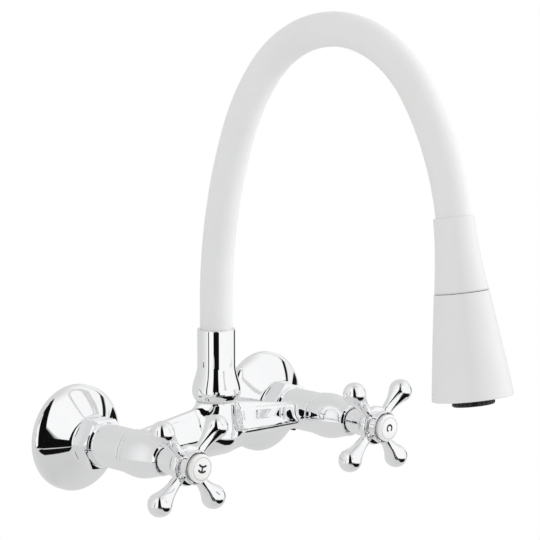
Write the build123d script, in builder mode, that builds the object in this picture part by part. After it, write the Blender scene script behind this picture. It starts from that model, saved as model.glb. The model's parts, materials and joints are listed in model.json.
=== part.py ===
from build123d import *
import os
from math import cos, radians, sin, sqrt

# Wall-mounted two-handle kitchen faucet with a bendable silicone-sleeved spout.
# Frame: X to the user's right, +Y into the wall, +Z up, millimetres. The origin is on the
# wall face, halfway between the two inlets and at the height of the valve axes.
# "out" is a distance from the wall, measured towards the user (-Y).

os.makedirs("parts", exist_ok=True)

# ---------------------------------------------------------------------------
# Driving dimensions
# ---------------------------------------------------------------------------

# Fits
turning_gap = 0.05  # radial gap of a shaft that turns in its bore
thread_gap = 0.1  # radial gap drawn between a screwed pair
slip_gap = 0.15  # radial gap of a piece that slides over or drops into another
face_gap = 0.3  # gap between faces that move past each other
ring_grip = 0.02  # radial gap left round a rubber ring in its groove or bore

# Layout of the whole faucet
inlet_spacing = 150.0
spout_out = 41.7  # spout axis, out from the wall

# Wall flange: a thin spun dome that slides over the union thread
flange_radius = 31.3
flange_depth = 17.7
flange_rim = 3.6
flange_wall = 1.1
flange_neck_radius = 14.3
flange_neck_length = 1.6
flange_shoulder_radius = 25.0
flange_shoulder_out = 10.4

# Eccentric connector between the wall fitting and the union
inlet_thread_radius = 10.48
inlet_thread_length = 14.0
inlet_relief_radius = 9.4  # run-out behind the wall thread
inlet_bore_radius = 7.5
inlet_offset = 4.0  # the wall thread's axis lies this far below the valve axis
connector_hex = 24.0
connector_hex_out = 3.0
connector_hex_length = 6.0
union_thread_radius = 12.6
union_bore_radius = 8.0
union_face_out = 23.6

# Union: flat gasket, flanged tail and the loose nut that clamps them
gasket_thickness = 1.8
gasket_bore_radius = 8.2
tail_flange_radius = 12.3
tail_flange_thickness = 2.5
tail_radius = 9.4
tail_bore_radius = 5.2
tail_thread_length = 7.2
tail_key_flats = 12.0
nut_flats = 28.0
nut_out = 18.0
nut_hex_length = 10.4
nut_collar_radius = 13.3
nut_collar_length = 2.0
nut_turns = {"hot": 57.0, "cold": 45.0}  # a corner's direction, from +X towards +Z
nut_chamfer = 1.1

# Bridge body: valve barrels
barrel_radius = 12.5
barrel_length = 26.3
barrel_bead_radius = 13.1
barrel_bead_length = 2.6
barrel_groove_radius = 12.0
barrel_groove_length = 0.8
seat_wall = 2.0
seat_bore_radius = 5.0
chamber_radius = 10.6
chamber_length = 10.6

# Bridge body: arms, as a section at the hub and a section at the barrel
arm_root_x = 9.0
arm_root_front, arm_root_back = 46.6, 34.0  # out from the wall
arm_root_ridge, arm_root_keel = 15.2, -15.0  # heights, as the facets' edges are
arm_root_facet_top, arm_root_facet_bottom = 10.6, 1.4
arm_tip_x = 66.0
arm_tip_front, arm_tip_back = 45.2, 33.8
arm_tip_ridge, arm_tip_keel = 6.2, -9.4
arm_tip_facet_top, arm_tip_facet_bottom = 5.0, -3.6
arm_crest_width = 4.6  # flat width of the ridge, and of the keel
keel_round = 1.0
waterway_radius = 3.4
waterway_out = 40.4
waterway_height = -1.6

# Bridge body: spout hub
hub_radius = 12.3
hub_rise = 2.2  # from the arms' ridge to the hub's top
hub_foot_rise = 2.4  # from the keel up to the hub's rounded foot
hub_bottom_round = 7.0
hub_bore_radius = 9.0
hub_bore_floor = -7.6
hub_blend = 2.4  # cast blend between the hub and the arms

# Spout collar: swivels in the hub and grips the gooseneck
collar_bottom_radius = 12.4
collar_bell_radius = 14.5
collar_bell_height = 5.4
collar_tube_radius = 11.35
collar_bell_length = 20.9  # from the collar's base to its straight tube
collar_length = 42.4
collar_lip = 0.5
spigot_length = 15.0
spigot_bore_radius = 4.0
ring_section = 1.8  # thickness of a rubber ring
spigot_ring_drops = (3.2, 11.0)  # below the hub's top
lock_groove_drop = 7.1
lock_groove_width = 3.2
lock_groove_depth = 1.5
lock_screw_radius = 1.5
lock_screw_socket = 0.7  # radius of its hexagon socket
lock_screw_socket_depth = 1.2
lock_screw_recess = 0.4
washer_thickness = 0.7
washer_inset = 0.4

# Gooseneck: silicone sleeve over a bendable steel core, with the water hose inside
sleeve_radius = 9.65
sleeve_wall = 2.3
core_radius = 7.1
core_wall = 1.5
hose_radius = 4.8
hose_wall = 1.3
sleeve_grip = 8.5  # length held in the collar
core_grip = 8.0  # bare end of the core below the sleeve
hose_grip = 10.0  # bare end of the hose below the core
riser_length = 14.4  # straight run above the collar
arch_radii = (279.0, 125.0, 75.4, 150.0)
arch_angles = (21.7, 19.6, 102.9, 26.7)
tip_run = 10.0
core_past_sleeve = 7.0
hose_stem_gap = 0.6  # from the hose's end to the diverter's stem

# Spray head, measured down its own axis from its top rim
head_top_radius = 11.0
head_waist_radius = 12.1
head_waist_depth = 20.0
head_seam_radius = 14.55
head_seam_depth = 39.8
head_skirt_radius = 14.9
head_mid_radius = 18.55
head_mid_depth = 68.0
head_rim_radius = 22.0
head_length = 96.5
head_wall = 1.9
head_edge_round = 0.6
head_grip_depth = 9.4
head_grip_radius = 9.9
spigot_down_radius = 8.6
connector_seam_gap = 6.8  # from the connector's end to the seam of the shells
stem_radius = 6.6
stem_bore_radius = 3.4
stem_tail_length = 8.4
stem_thread_length = 8.0
stem_thread_radius = 5.4
stem_collar_radius = 10.2
stem_collar_drop = 1.8  # below the seam
stem_collar_thickness = 2.6
stem_port_radius = 1.7
stem_ports = 4
web_drop = 5.2  # below the seam
web_thickness = 2.6
clip_thickness = 1.2
clip_radius = 8.4
clip_groove_depth = 0.9
spray_plate_recess = 6.0  # from the head's rim up to the plate's inner face
spray_plate_thickness = 2.6
spray_nozzle_circle = 16.0
spray_nozzle_radius = 0.7
spray_nozzle_count = 20
aerator_radius = 11.5
aerator_bore_radius = 9.2
aerator_thread_radius = 10.4
aerator_thread_length = 5.0
aerator_proud = 3.7
aerator_lip_width = 1.2
aerator_lip_length = 1.4
aerator_ribs = 28
aerator_rib_depth = 0.45
insert_thickness = 3.0
insert_holes = 12
insert_hole_radius = 1.0
insert_hole_circle = 5.6
aerator_gasket_thickness = 1.2
aerator_gasket_bore = 7.0

# Ceramic headwork
seal_radius = 8.2
seal_bore_radius = 4.4
seal_thickness = 2.5
seal_proud = 1.0
mouth_seal_width = 1.2
cage_radius = 9.2
cage_bore_radius = 8.5
disc_thickness = 2.8
disc_film = 0.05
disc_port_inner = 2.0
disc_port_outer = 6.6
disc_port_angle = 76.0
driver_radius = 7.6
driver_thickness = 2.2
tongue_length = 13.7
tongue_width = 3.0
tongue_depth = 1.2
window_length = 3.6
window_width = 9.0
spindle_radius = 4.0
square_side = 5.6
square_length = 10.0
headwork_hex = 20.0
headwork_hex_length = 5.2
neck_radius = 7.4
neck_length = 31.0  # from the barrel's end to the end of the headwork's neck
spindle_ring_starts = (4.0, 9.0)  # from the barrel's end
spindle_clip_gap = 0.6  # from the neck's end
spindle_clip_thickness = 0.9
spindle_clip_radius = 5.9
spindle_clip_groove = 0.6
spindle_clip_mouth = 5.6

# Bonnet: the chrome bell over the headwork
bonnet_start_radius = 13.2
bonnet_bulge_radius = 13.65
bonnet_bulge_start = 5.5  # from the barrel's end, as the next two are
bonnet_taper_radius = 10.6
bonnet_taper_start = 19.0
bonnet_end_radius = 9.3
bonnet_length = 25.0
bonnet_recess_radius = 8.3
bonnet_recess_depth = 1.6
bonnet_cavity_radius = 12.0
bonnet_cavity_length = 6.5
bonnet_cavity_cone = 4.0

# Cross handle
handle_turns = {"hot": 41.7, "cold": 40.0}  # angle of the first arm from +X towards +Z
handle_lift = 0.4  # from the neck's end to the handle's skirt
handle_skirt_radius = 7.9
handle_waist_length = 5.1
handle_waist_radius = 8.3
handle_flare_length = 4.7
handle_hub_radius = 11.2
handle_hub_crown = 0.5
handle_hub_length = 4.6
handle_groove_radius = 8.0
handle_groove_lip = 0.6
handle_groove_length = 1.7
handle_front_length = 2.9
handle_front_radius = 9.2
handle_arms = 4
arm_neck_radius = 3.3
arm_neck_reach = 12.0
arm_ball_radius = 7.0
arm_ball_reach = 28.3
handle_pocket_radius = 6.3
handle_pocket_depth = 1.9
handle_recess_radius = 5.2
handle_recess_depth = 3.2
handle_web = 2.2  # wall that the screw clamps
screw_radius = 2.0
screw_length = 10.0
screw_head_radius = 3.8
screw_head_height = 1.9
screw_drive = 3.0

# Cap ring and index button
cap_radius = 9.85
cap_length = 2.9
cap_round = 0.5
cap_seat_radius = 9.2  # stands clear of the button all round
cap_stem_length = 0.8
button_radius = 8.1
button_flat_radius = 6.5
button_seat_depth = 1.6
button_proud = 2.0
button_chamfer = 1.5
button_stem_radius = 3.0
button_stem_gap = 0.6  # from the stem's end to the handle screw

# ---------------------------------------------------------------------------
# Places worked out from the sizes above
# ---------------------------------------------------------------------------

valve_x = {"hot": -inlet_spacing / 2, "cold": inlet_spacing / 2}
hub_top = arm_root_ridge + hub_rise
hub_bottom = arm_root_keel + hub_foot_rise

gasket_end_out = union_face_out + gasket_thickness
tail_flange_end_out = gasket_end_out + tail_flange_thickness
nut_hex_end_out = nut_out + nut_hex_length
nut_end_out = nut_hex_end_out + nut_collar_length
barrel_start_out = nut_end_out + face_gap
tail_end_out = barrel_start_out + tail_thread_length
seat_out = tail_end_out + face_gap + seat_wall
chamber_end_out = seat_out + chamber_length
barrel_end_out = barrel_start_out + barrel_length
bead_start_out = barrel_end_out - barrel_bead_length
groove_start_out = bead_start_out - barrel_groove_length

fixed_disc_out = seat_out + seal_thickness
moving_disc_out = fixed_disc_out + disc_thickness + disc_film
driver_out = moving_disc_out + disc_thickness + disc_film
cage_start_out = seat_out + seal_proud
cage_roof_out = driver_out + driver_thickness + face_gap
headwork_hex_out = barrel_end_out
spindle_bore_radius = spindle_radius + turning_gap
neck_end_out = barrel_end_out + neck_length
bonnet_end_out = barrel_end_out + bonnet_length
spindle_ring_outs = tuple(barrel_end_out + start for start in spindle_ring_starts)
spindle_clip_out = neck_end_out + spindle_clip_gap

handle_skirt_out = neck_end_out + handle_lift
handle_waist_out = handle_skirt_out + handle_waist_length
handle_hub_out = handle_waist_out + handle_flare_length
handle_hub_end_out = handle_hub_out + handle_hub_length
handle_groove_end_out = handle_hub_end_out + handle_groove_length
handle_front_out = handle_groove_end_out + handle_front_length
arm_plane_out = (handle_hub_out + handle_hub_end_out) / 2
handle_recess_out = handle_front_out - handle_recess_depth
spindle_end_out = handle_recess_out - handle_web
square_out = spindle_end_out - square_length

button_seat_out = handle_front_out + cap_length - button_seat_depth
cap_end_out = handle_front_out + cap_length
button_face_out = cap_end_out + button_proud

collar_base = hub_top + washer_thickness
collar_bell = collar_base + collar_bell_height
collar_tube_start = collar_base + collar_bell_length
collar_top = collar_base + collar_length
spigot_radius = hub_bore_radius - turning_gap
spigot_end = hub_top - spigot_length
spigot_ring_heights = tuple(hub_top - drop for drop in spigot_ring_drops)
lock_groove_height = hub_top - lock_groove_drop
sleeve_start_height = collar_top - sleeve_grip
core_start_height = sleeve_start_height - core_grip
hose_start_height = core_start_height - hose_grip
riser_top = collar_top + riser_length
sleeve_bore_radius = sleeve_radius - sleeve_wall
core_bore_radius = core_radius - core_wall
hose_bore_radius = hose_radius - hose_wall

core_end_depth = head_grip_depth + core_past_sleeve
grip_floor_depth = head_grip_depth
connector_end_depth = head_seam_depth - connector_seam_gap
stem_collar_depth = head_seam_depth + stem_collar_drop
web_depth = head_seam_depth + web_drop
spray_plate_depth = head_length - spray_plate_recess
spray_plate_end_depth = spray_plate_depth + spray_plate_thickness
aerator_flange_depth = spray_plate_end_depth + ring_grip
aerator_end_depth = head_length + aerator_proud
stem_start_depth = connector_end_depth - stem_thread_length
hose_past_tip = stem_start_depth - hose_stem_gap - head_grip_depth
stem_collar_end_depth = stem_collar_depth + stem_collar_thickness
web_end_depth = web_depth + web_thickness
stem_end_depth = web_end_depth + stem_tail_length
clip_depth = web_end_depth + slip_gap
skirt_start_depth = head_seam_depth + face_gap
aerator_start_depth = spray_plate_end_depth - aerator_thread_length


# ---------------------------------------------------------------------------
# Sketch helpers
# ---------------------------------------------------------------------------


def front_plane(x, out):
    """A plane across a valve axis, facing the user."""
    return Plane(origin=(x, -out, 0), x_dir=(1, 0, 0), z_dir=(0, -1, 0))


def profile_plane(x):
    """A plane through a valve axis: local x is a radius, local y the distance out."""
    return Plane(origin=(x, 0, 0), x_dir=(1, 0, 0), z_dir=(0, 0, -1))


def valve_axis(x):
    return Axis((x, 0, 0), (0, -1, 0))


def outline_face(plane, points):
    """A closed face with straight sides."""
    with BuildSketch(plane) as face:
        with BuildLine():
            Polyline(*points, close=True)
        make_face()
    return face.sketch


def ring_face(plane, outer, inner=0.0):
    """A disc, or a ring where it has a bore."""
    with BuildSketch(plane) as face:
        Circle(outer)
        if inner > 0:
            Circle(inner, mode=Mode.SUBTRACT)
    return face.sketch


def hex_face(plane, flats, turn=0.0):
    with BuildSketch(plane) as face:
        RegularPolygon(radius=flats / 2, side_count=6, major_radius=False, rotation=turn)
    return face.sketch


def ring_points(inner, outer, start, end):
    """Corners of a rectangular ring section, as radius and distance along the axis."""
    return [(inner, start), (outer, start), (outer, end), (inner, end)]


def keep(name, builder):
    builder.part.label = name
    export_step(builder.part, f"parts/{name}.step")


# ---------------------------------------------------------------------------
# Wall connection, one set on each side
# ---------------------------------------------------------------------------


def make_wall_flange(x):
    """Spun dome: a short upright rim, a convex shoulder and a concave sweep to the neck."""
    neck_start = flange_depth - flange_neck_length
    neck_bore = union_thread_radius + 2 * slip_gap
    with BuildPart() as wall_flange:
        with BuildSketch(profile_plane(x)):
            with BuildLine():
                rim = Line((flange_radius, 0), (flange_radius, flange_rim))
                shoulder = Spline(
                    rim @ 1,
                    (flange_shoulder_radius, flange_shoulder_out),
                    (flange_neck_radius, neck_start),
                    tangents=[(-0.25, 1), (-0.35, 1)],
                )
                neck = Line(shoulder @ 1, (flange_neck_radius, flange_depth))
                lip = Line(neck @ 1, (neck_bore, flange_depth))
                neck_wall = Line(lip @ 1, (neck_bore, neck_start - flange_wall))
                inner = Spline(
                    neck_wall @ 1,
                    (flange_shoulder_radius - flange_wall, flange_shoulder_out - flange_wall),
                    (flange_radius - flange_wall, flange_rim - flange_wall / 2),
                    tangents=[(0.35, -1), (0.25, -1)],
                )
                rim_wall = Line(inner @ 1, (flange_radius - flange_wall, 0))
                Line(rim_wall @ 1, rim @ 0)
            make_face()
        revolve(axis=valve_axis(x))
    return wall_flange


def make_eccentric_connector(x):
    with BuildPart() as connector:
        with BuildSketch(Plane(origin=(x, inlet_thread_length, -inlet_offset), z_dir=(0, -1, 0))):
            Circle(inlet_thread_radius)
        extrude(amount=inlet_thread_length)
        with BuildSketch(Plane(origin=(x, 0, -inlet_offset), z_dir=(0, -1, 0))):
            Circle(inlet_relief_radius)
        extrude(amount=connector_hex_out)
        extrude(hex_face(front_plane(x, connector_hex_out), connector_hex), amount=connector_hex_length)
        thread_length = union_face_out - connector_hex_out
        extrude(ring_face(front_plane(x, connector_hex_out), union_thread_radius), amount=thread_length)
        bore_length = union_face_out - connector_hex_out
        extrude(
            ring_face(front_plane(x, connector_hex_out), union_bore_radius),
            amount=bore_length,
            mode=Mode.SUBTRACT,
        )
        with BuildSketch(Plane(origin=(x, inlet_thread_length, -inlet_offset), z_dir=(0, -1, 0))):
            Circle(inlet_bore_radius)
        extrude(amount=inlet_thread_length + connector_hex_out + 1, mode=Mode.SUBTRACT)
    return connector


def make_union_gasket(x):
    with BuildPart() as gasket:
        face = ring_face(front_plane(x, union_face_out), tail_flange_radius, gasket_bore_radius)
        extrude(face, amount=gasket_thickness)
    return gasket


def make_union_tail(x):
    """Flanged tail, screwed into the barrel with a hexagon key."""
    with BuildPart() as tail:
        extrude(
            ring_face(front_plane(x, gasket_end_out), tail_flange_radius), amount=tail_flange_thickness
        )
        tube_length = tail_end_out - tail_flange_end_out
        extrude(ring_face(front_plane(x, tail_flange_end_out), tail_radius), amount=tube_length)
        bore_length = tail_end_out - gasket_end_out
        extrude(
            ring_face(front_plane(x, gasket_end_out), tail_bore_radius),
            amount=bore_length,
            mode=Mode.SUBTRACT,
        )
        extrude(
            hex_face(front_plane(x, gasket_end_out), tail_key_flats),
            amount=bore_length / 2,
            mode=Mode.SUBTRACT,
        )
    return tail


def make_union_nut(x, turn):
    """Hexagon with turned-down corners at the front and a round collar."""
    corner_radius = nut_flats / sqrt(3)
    nut_bore = union_thread_radius + thread_gap
    with BuildPart() as nut:
        extrude(hex_face(front_plane(x, nut_out), nut_flats, turn=turn), amount=nut_hex_length)
        turned = [
            (0, nut_out),
            (corner_radius - nut_chamfer / 2, nut_out),
            (corner_radius + nut_chamfer / 2, nut_out + nut_chamfer),
            (corner_radius + nut_chamfer / 2, nut_hex_end_out - nut_chamfer),
            (nut_flats / 2 - nut_chamfer / 4, nut_hex_end_out),
            (0, nut_hex_end_out),
        ]
        revolve(outline_face(profile_plane(x), turned), axis=valve_axis(x), mode=Mode.INTERSECT)
        extrude(ring_face(front_plane(x, nut_hex_end_out), nut_collar_radius), amount=nut_collar_length)
        extrude(
            ring_face(front_plane(x, nut_out), nut_bore),
            amount=tail_flange_end_out - nut_out,
            mode=Mode.SUBTRACT,
        )
        extrude(
            ring_face(front_plane(x, nut_out), tail_radius + slip_gap),
            amount=nut_end_out - nut_out,
            mode=Mode.SUBTRACT,
        )
    return nut


# ---------------------------------------------------------------------------
# Headwork, one set on each side
# ---------------------------------------------------------------------------


def sector_ports(plane, turn):
    """Two opposite sector ports of a ceramic disc."""
    half = disc_port_angle / 2
    with BuildSketch(plane) as ports:
        with PolarLocations(0, 2, start_angle=turn):
            with BuildLine():
                outer = CenterArc((0, 0), disc_port_outer, -half, disc_port_angle)
                inner = CenterArc((0, 0), disc_port_inner, -half, disc_port_angle)
                Line(outer @ 0, inner @ 0)
                Line(outer @ 1, inner @ 1)
            make_face()
    return ports.sketch


def make_disc(x, out, turn):
    with BuildPart() as disc:
        extrude(ring_face(front_plane(x, out), cage_bore_radius - slip_gap), amount=disc_thickness)
        extrude(sector_ports(front_plane(x, out), turn), amount=disc_thickness, mode=Mode.SUBTRACT)
    return disc


def make_moving_disc(x):
    """Closed at rest: its ports stand a quarter turn from those of the fixed disc."""
    slot_width = tongue_width + 2 * turning_gap
    slot_out = moving_disc_out + disc_thickness - tongue_depth - turning_gap
    with BuildPart() as disc:
        add(make_disc(x, moving_disc_out, 90).part)
        with BuildSketch(front_plane(x, slot_out)):
            Rectangle(2 * cage_bore_radius, slot_width)
        extrude(amount=disc_thickness, mode=Mode.SUBTRACT)
    return disc


def make_seat_seal(x):
    with BuildPart() as seal:
        extrude(ring_face(front_plane(x, seat_out), seal_radius, seal_bore_radius), amount=seal_thickness)
    return seal


def make_headwork_body(x):
    """Brass cage for the discs, thread, spanner hexagon and long neck in one turned piece."""
    cage_length = barrel_end_out - cage_start_out
    with BuildPart() as headwork:
        extrude(ring_face(front_plane(x, cage_start_out), cage_radius), amount=cage_length)
        extrude(hex_face(front_plane(x, headwork_hex_out), headwork_hex), amount=headwork_hex_length)
        neck_length = neck_end_out - headwork_hex_out
        extrude(ring_face(front_plane(x, headwork_hex_out), neck_radius), amount=neck_length)
        extrude(
            ring_face(front_plane(x, cage_start_out), cage_bore_radius),
            amount=cage_roof_out - cage_start_out,
            mode=Mode.SUBTRACT,
        )
        extrude(
            ring_face(front_plane(x, cage_start_out), spindle_bore_radius),
            amount=neck_end_out - cage_start_out,
            mode=Mode.SUBTRACT,
        )
        with BuildSketch(front_plane(x, cage_roof_out - window_length)):
            Rectangle(4 * cage_radius, window_width)
        extrude(amount=window_length, mode=Mode.SUBTRACT)
    return headwork


def make_spindle(x):
    """Driver plate and tongue, round shank with two ring grooves, squared end with a screw hole."""
    ring_floor = spindle_radius - ring_section / 2
    shank_length = spindle_end_out - driver_out
    with BuildPart() as spindle:
        extrude(ring_face(front_plane(x, driver_out), driver_radius), amount=driver_thickness)
        with BuildSketch(front_plane(x, driver_out - tongue_depth)):
            Rectangle(tongue_length, tongue_width)
        extrude(amount=tongue_depth)
        extrude(ring_face(front_plane(x, driver_out), spindle_radius), amount=shank_length)
        with BuildSketch(front_plane(x, square_out)):
            Circle(2 * spindle_radius)
            Rectangle(square_side, square_side, mode=Mode.SUBTRACT)
        extrude(amount=spindle_end_out - square_out, mode=Mode.SUBTRACT)
        for out in spindle_ring_outs:
            groove = ring_points(ring_floor, 2 * spindle_radius, out, out + ring_section)
            revolve(outline_face(profile_plane(x), groove), axis=valve_axis(x), mode=Mode.SUBTRACT)
        clip_end = spindle_clip_out + spindle_clip_thickness
        groove_floor = spindle_radius - spindle_clip_groove
        groove = ring_points(groove_floor, 2 * spindle_radius, spindle_clip_out, clip_end)
        revolve(outline_face(profile_plane(x), groove), axis=valve_axis(x), mode=Mode.SUBTRACT)
        screw_hole_depth = screw_length - (handle_recess_out - spindle_end_out) + 1
        extrude(
            ring_face(front_plane(x, spindle_end_out), screw_radius + turning_gap),
            amount=-screw_hole_depth,
            mode=Mode.SUBTRACT,
        )
    return spindle


def make_spindle_seals(x):
    inner = spindle_radius - ring_section / 2 + ring_grip
    outer = spindle_bore_radius - ring_grip
    with BuildPart() as seals:
        for out in spindle_ring_outs:
            section = ring_points(inner, outer, out + ring_grip, out + ring_section - ring_grip)
            revolve(outline_face(profile_plane(x), section), axis=valve_axis(x))
    return seals


def make_spindle_clip(x):
    """Open circlip in the spindle's groove."""
    with BuildPart() as clip:
        with BuildSketch(front_plane(x, spindle_clip_out + ring_grip)):
            Circle(spindle_clip_radius)
            Circle(spindle_radius - spindle_clip_groove + ring_grip, mode=Mode.SUBTRACT)
            with Locations((0, -spindle_clip_radius)):
                Rectangle(spindle_clip_mouth, 2 * spindle_clip_radius, mode=Mode.SUBTRACT)
        extrude(amount=spindle_clip_thickness - 2 * ring_grip)
    return clip


def make_headwork_seal(x):
    """Rubber ring in the corner between the headwork's cage and the barrel's mouth."""
    inner = cage_radius + ring_grip
    with BuildPart() as seal:
        section = ring_points(inner, inner + mouth_seal_width, barrel_end_out - ring_section, barrel_end_out)
        revolve(outline_face(profile_plane(x), section), axis=valve_axis(x))
    return seal


def make_bonnet(x):
    """Chrome bell that hides the headwork and screws onto its neck."""
    start = barrel_end_out + slip_gap
    cavity_end = start + bonnet_cavity_length
    neck_bore = neck_radius + thread_gap
    with BuildPart() as bonnet:
        with BuildSketch(profile_plane(x)):
            with BuildLine():
                foot = Line((bonnet_cavity_radius, start), (bonnet_start_radius, start))
                bell = Spline(
                    foot @ 1,
                    (bonnet_bulge_radius, barrel_end_out + bonnet_bulge_start),
                    (bonnet_taper_radius, barrel_end_out + bonnet_taper_start),
                    tangents=[(0.25, 1), (-0.3, 1)],
                )
                nose = Spline(
                    bell @ 1,
                    (bonnet_end_radius, bonnet_end_out),
                    tangents=[(-0.3, 1), (-0.05, 1)],
                )
                mouth = Line(nose @ 1, (bonnet_recess_radius, bonnet_end_out))
                recess = Line(mouth @ 1, (bonnet_recess_radius, bonnet_end_out - bonnet_recess_depth))
                floor = Line(recess @ 1, (neck_bore, bonnet_end_out - bonnet_recess_depth))
                bore = Line(floor @ 1, (neck_bore, cavity_end + bonnet_cavity_cone))
                roof = Line(bore @ 1, (bonnet_cavity_radius, cavity_end))
                Line(roof @ 1, foot @ 0)
            make_face()
        revolve(axis=valve_axis(x))
    return bonnet


# ---------------------------------------------------------------------------
# Handle, one set on each side
# ---------------------------------------------------------------------------


def make_club_arm():
    """One arm lying along +X from the origin: a slim neck swelling into a ball, as a half outline."""
    rise = arm_ball_radius - arm_neck_radius
    run = arm_ball_reach - arm_neck_reach
    sweep_radius = (run**2 / rise - (arm_ball_radius + arm_neck_radius)) / 2
    scale = arm_ball_radius / (sweep_radius + arm_ball_radius)
    touch = (arm_ball_reach - run * scale, (sweep_radius + arm_neck_radius) * scale)
    with BuildPart() as arm:
        with BuildSketch(Plane.XY):
            with BuildLine():
                neck = Line((0, arm_neck_radius), (arm_neck_reach, arm_neck_radius))
                swell = TangentArc(neck @ 1, touch, tangent=(1, 0))
                ball = TangentArc(swell @ 1, (arm_ball_reach + arm_ball_radius, 0), tangent=swell % 1)
                spine = Line(ball @ 1, (0, 0))
                Line(spine @ 1, neck @ 0)
            make_face()
        revolve(axis=Axis.X)
    return arm.part


def make_cross_handle(x, turn):
    pocket_end = handle_skirt_out + handle_pocket_depth
    arm = make_club_arm()
    with BuildPart() as handle:
        with BuildSketch(profile_plane(x)):
            with BuildLine():
                back = Line((0, handle_skirt_out), (handle_skirt_radius, handle_skirt_out))
                flare = Spline(
                    back @ 1,
                    (handle_waist_radius, handle_waist_out),
                    (handle_hub_radius, handle_hub_out),
                    tangents=[(0, 1), (0.6, 1)],
                )
                rim = ThreePointArc(
                    flare @ 1,
                    (handle_hub_radius + handle_hub_crown, arm_plane_out),
                    (handle_groove_radius + handle_groove_lip, handle_hub_end_out),
                )
                groove = Polyline(
                    rim @ 1,
                    (handle_groove_radius, handle_hub_end_out),
                    (handle_groove_radius, handle_groove_end_out),
                    (handle_front_radius, handle_groove_end_out),
                    (handle_front_radius, handle_front_out),
                    (0, handle_front_out),
                )
                Line(groove @ 1, back @ 0)
            make_face()
        revolve(axis=valve_axis(x))
        arm_plane = front_plane(x, arm_plane_out)
        for index in range(handle_arms):
            angle = turn + index * 360 / handle_arms
            add(arm_plane * Rot(0, 0, angle) * arm)
        extrude(
            ring_face(front_plane(x, handle_skirt_out), handle_pocket_radius),
            amount=handle_pocket_depth,
            mode=Mode.SUBTRACT,
        )
        with BuildSketch(front_plane(x, pocket_end)):
            Circle(spindle_radius + slip_gap)
        extrude(amount=square_out - pocket_end, mode=Mode.SUBTRACT)
        with BuildSketch(front_plane(x, square_out)):
            Rectangle(square_side + 2 * turning_gap, square_side + 2 * turning_gap)
        extrude(amount=spindle_end_out + slip_gap - square_out, mode=Mode.SUBTRACT)
        extrude(
            ring_face(front_plane(x, spindle_end_out), screw_radius + slip_gap),
            amount=handle_recess_out - spindle_end_out,
            mode=Mode.SUBTRACT,
        )
        extrude(
            ring_face(front_plane(x, handle_recess_out), handle_recess_radius),
            amount=handle_front_out - handle_recess_out,
            mode=Mode.SUBTRACT,
        )
    return handle


def make_handle_screw(x):
    head_out = handle_recess_out + ring_grip
    shank_start = handle_recess_out - screw_length
    with BuildPart() as screw:
        extrude(ring_face(front_plane(x, shank_start), screw_radius), amount=head_out - shank_start)
        extrude(ring_face(front_plane(x, head_out), screw_head_radius), amount=screw_head_height)
        drive_out = head_out + screw_head_height
        extrude(
            hex_face(front_plane(x, drive_out), screw_drive),
            amount=-screw_head_height / 2,
            mode=Mode.SUBTRACT,
        )
    return screw


def make_cap_ring(x):
    """Chrome screw cap: a rounded rim round the button's seat, and a hollow stem in the handle."""
    stem_outer = handle_recess_radius - thread_gap
    bore = button_stem_radius + slip_gap
    with BuildPart() as cap:
        outline = [
            (bore, handle_front_out - cap_stem_length),
            (stem_outer, handle_front_out - cap_stem_length),
            (stem_outer, handle_front_out),
            (cap_radius, handle_front_out),
            (cap_radius, cap_end_out),
            (cap_seat_radius, cap_end_out),
            (cap_seat_radius, button_seat_out),
            (bore, button_seat_out),
        ]
        revolve(outline_face(profile_plane(x), outline), axis=valve_axis(x))
        rim = cap.edges().filter_by(GeomType.CIRCLE).sort_by(SortBy.RADIUS)[-2:]
        fillet(rim, radius=cap_round)
    return cap


def make_index_button(x):
    with BuildPart() as button:
        extrude(
            ring_face(front_plane(x, button_seat_out), button_radius), amount=button_face_out - button_seat_out
        )
        face_edge = button.edges().sort_by(Axis.Y)[0]
        chamfer(face_edge, length=button_chamfer, length2=button_radius - button_flat_radius)
        extrude(
            ring_face(front_plane(x, button_seat_out), button_stem_radius),
            amount=handle_recess_out + screw_head_height + button_stem_gap - button_seat_out,
        )
    return button


for side, x in valve_x.items():
    keep(f"{side}_wall_flange", make_wall_flange(x))
    keep(f"{side}_eccentric_connector", make_eccentric_connector(x))
    keep(f"{side}_union_gasket", make_union_gasket(x))
    keep(f"{side}_union_tail", make_union_tail(x))
    keep(f"{side}_union_nut", make_union_nut(x, nut_turns[side]))
    keep(f"{side}_seat_seal", make_seat_seal(x))
    keep(f"{side}_fixed_disc", make_disc(x, fixed_disc_out, 0))
    keep(f"{side}_moving_disc", make_moving_disc(x))
    keep(f"{side}_headwork_body", make_headwork_body(x))
    keep(f"{side}_headwork_seal", make_headwork_seal(x))
    keep(f"{side}_spindle", make_spindle(x))
    keep(f"{side}_spindle_seals", make_spindle_seals(x))
    keep(f"{side}_spindle_clip", make_spindle_clip(x))
    keep(f"{side}_bonnet", make_bonnet(x))
    keep(f"{side}_cross_handle", make_cross_handle(x, handle_turns[side]))
    keep(f"{side}_handle_screw", make_handle_screw(x))
    keep(f"{side}_cap_ring", make_cap_ring(x))
    keep(f"{side}_index_button", make_index_button(x))


# ---------------------------------------------------------------------------
# Bridge body: one casting with two barrels, two arms and the spout hub
# ---------------------------------------------------------------------------


arm_root = (
    arm_root_front,
    arm_root_back,
    arm_root_ridge,
    arm_root_facet_top,
    arm_root_facet_bottom,
    arm_root_keel,
)
arm_tip = (
    arm_tip_front,
    arm_tip_back,
    arm_tip_ridge,
    arm_tip_facet_top,
    arm_tip_facet_bottom,
    arm_tip_keel,
)
spout_axis = Axis((0, -spout_out, 0), (0, 0, 1))
spout_profile = Plane(origin=(0, -spout_out, 0), x_dir=(1, 0, 0), z_dir=(0, -1, 0))


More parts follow.
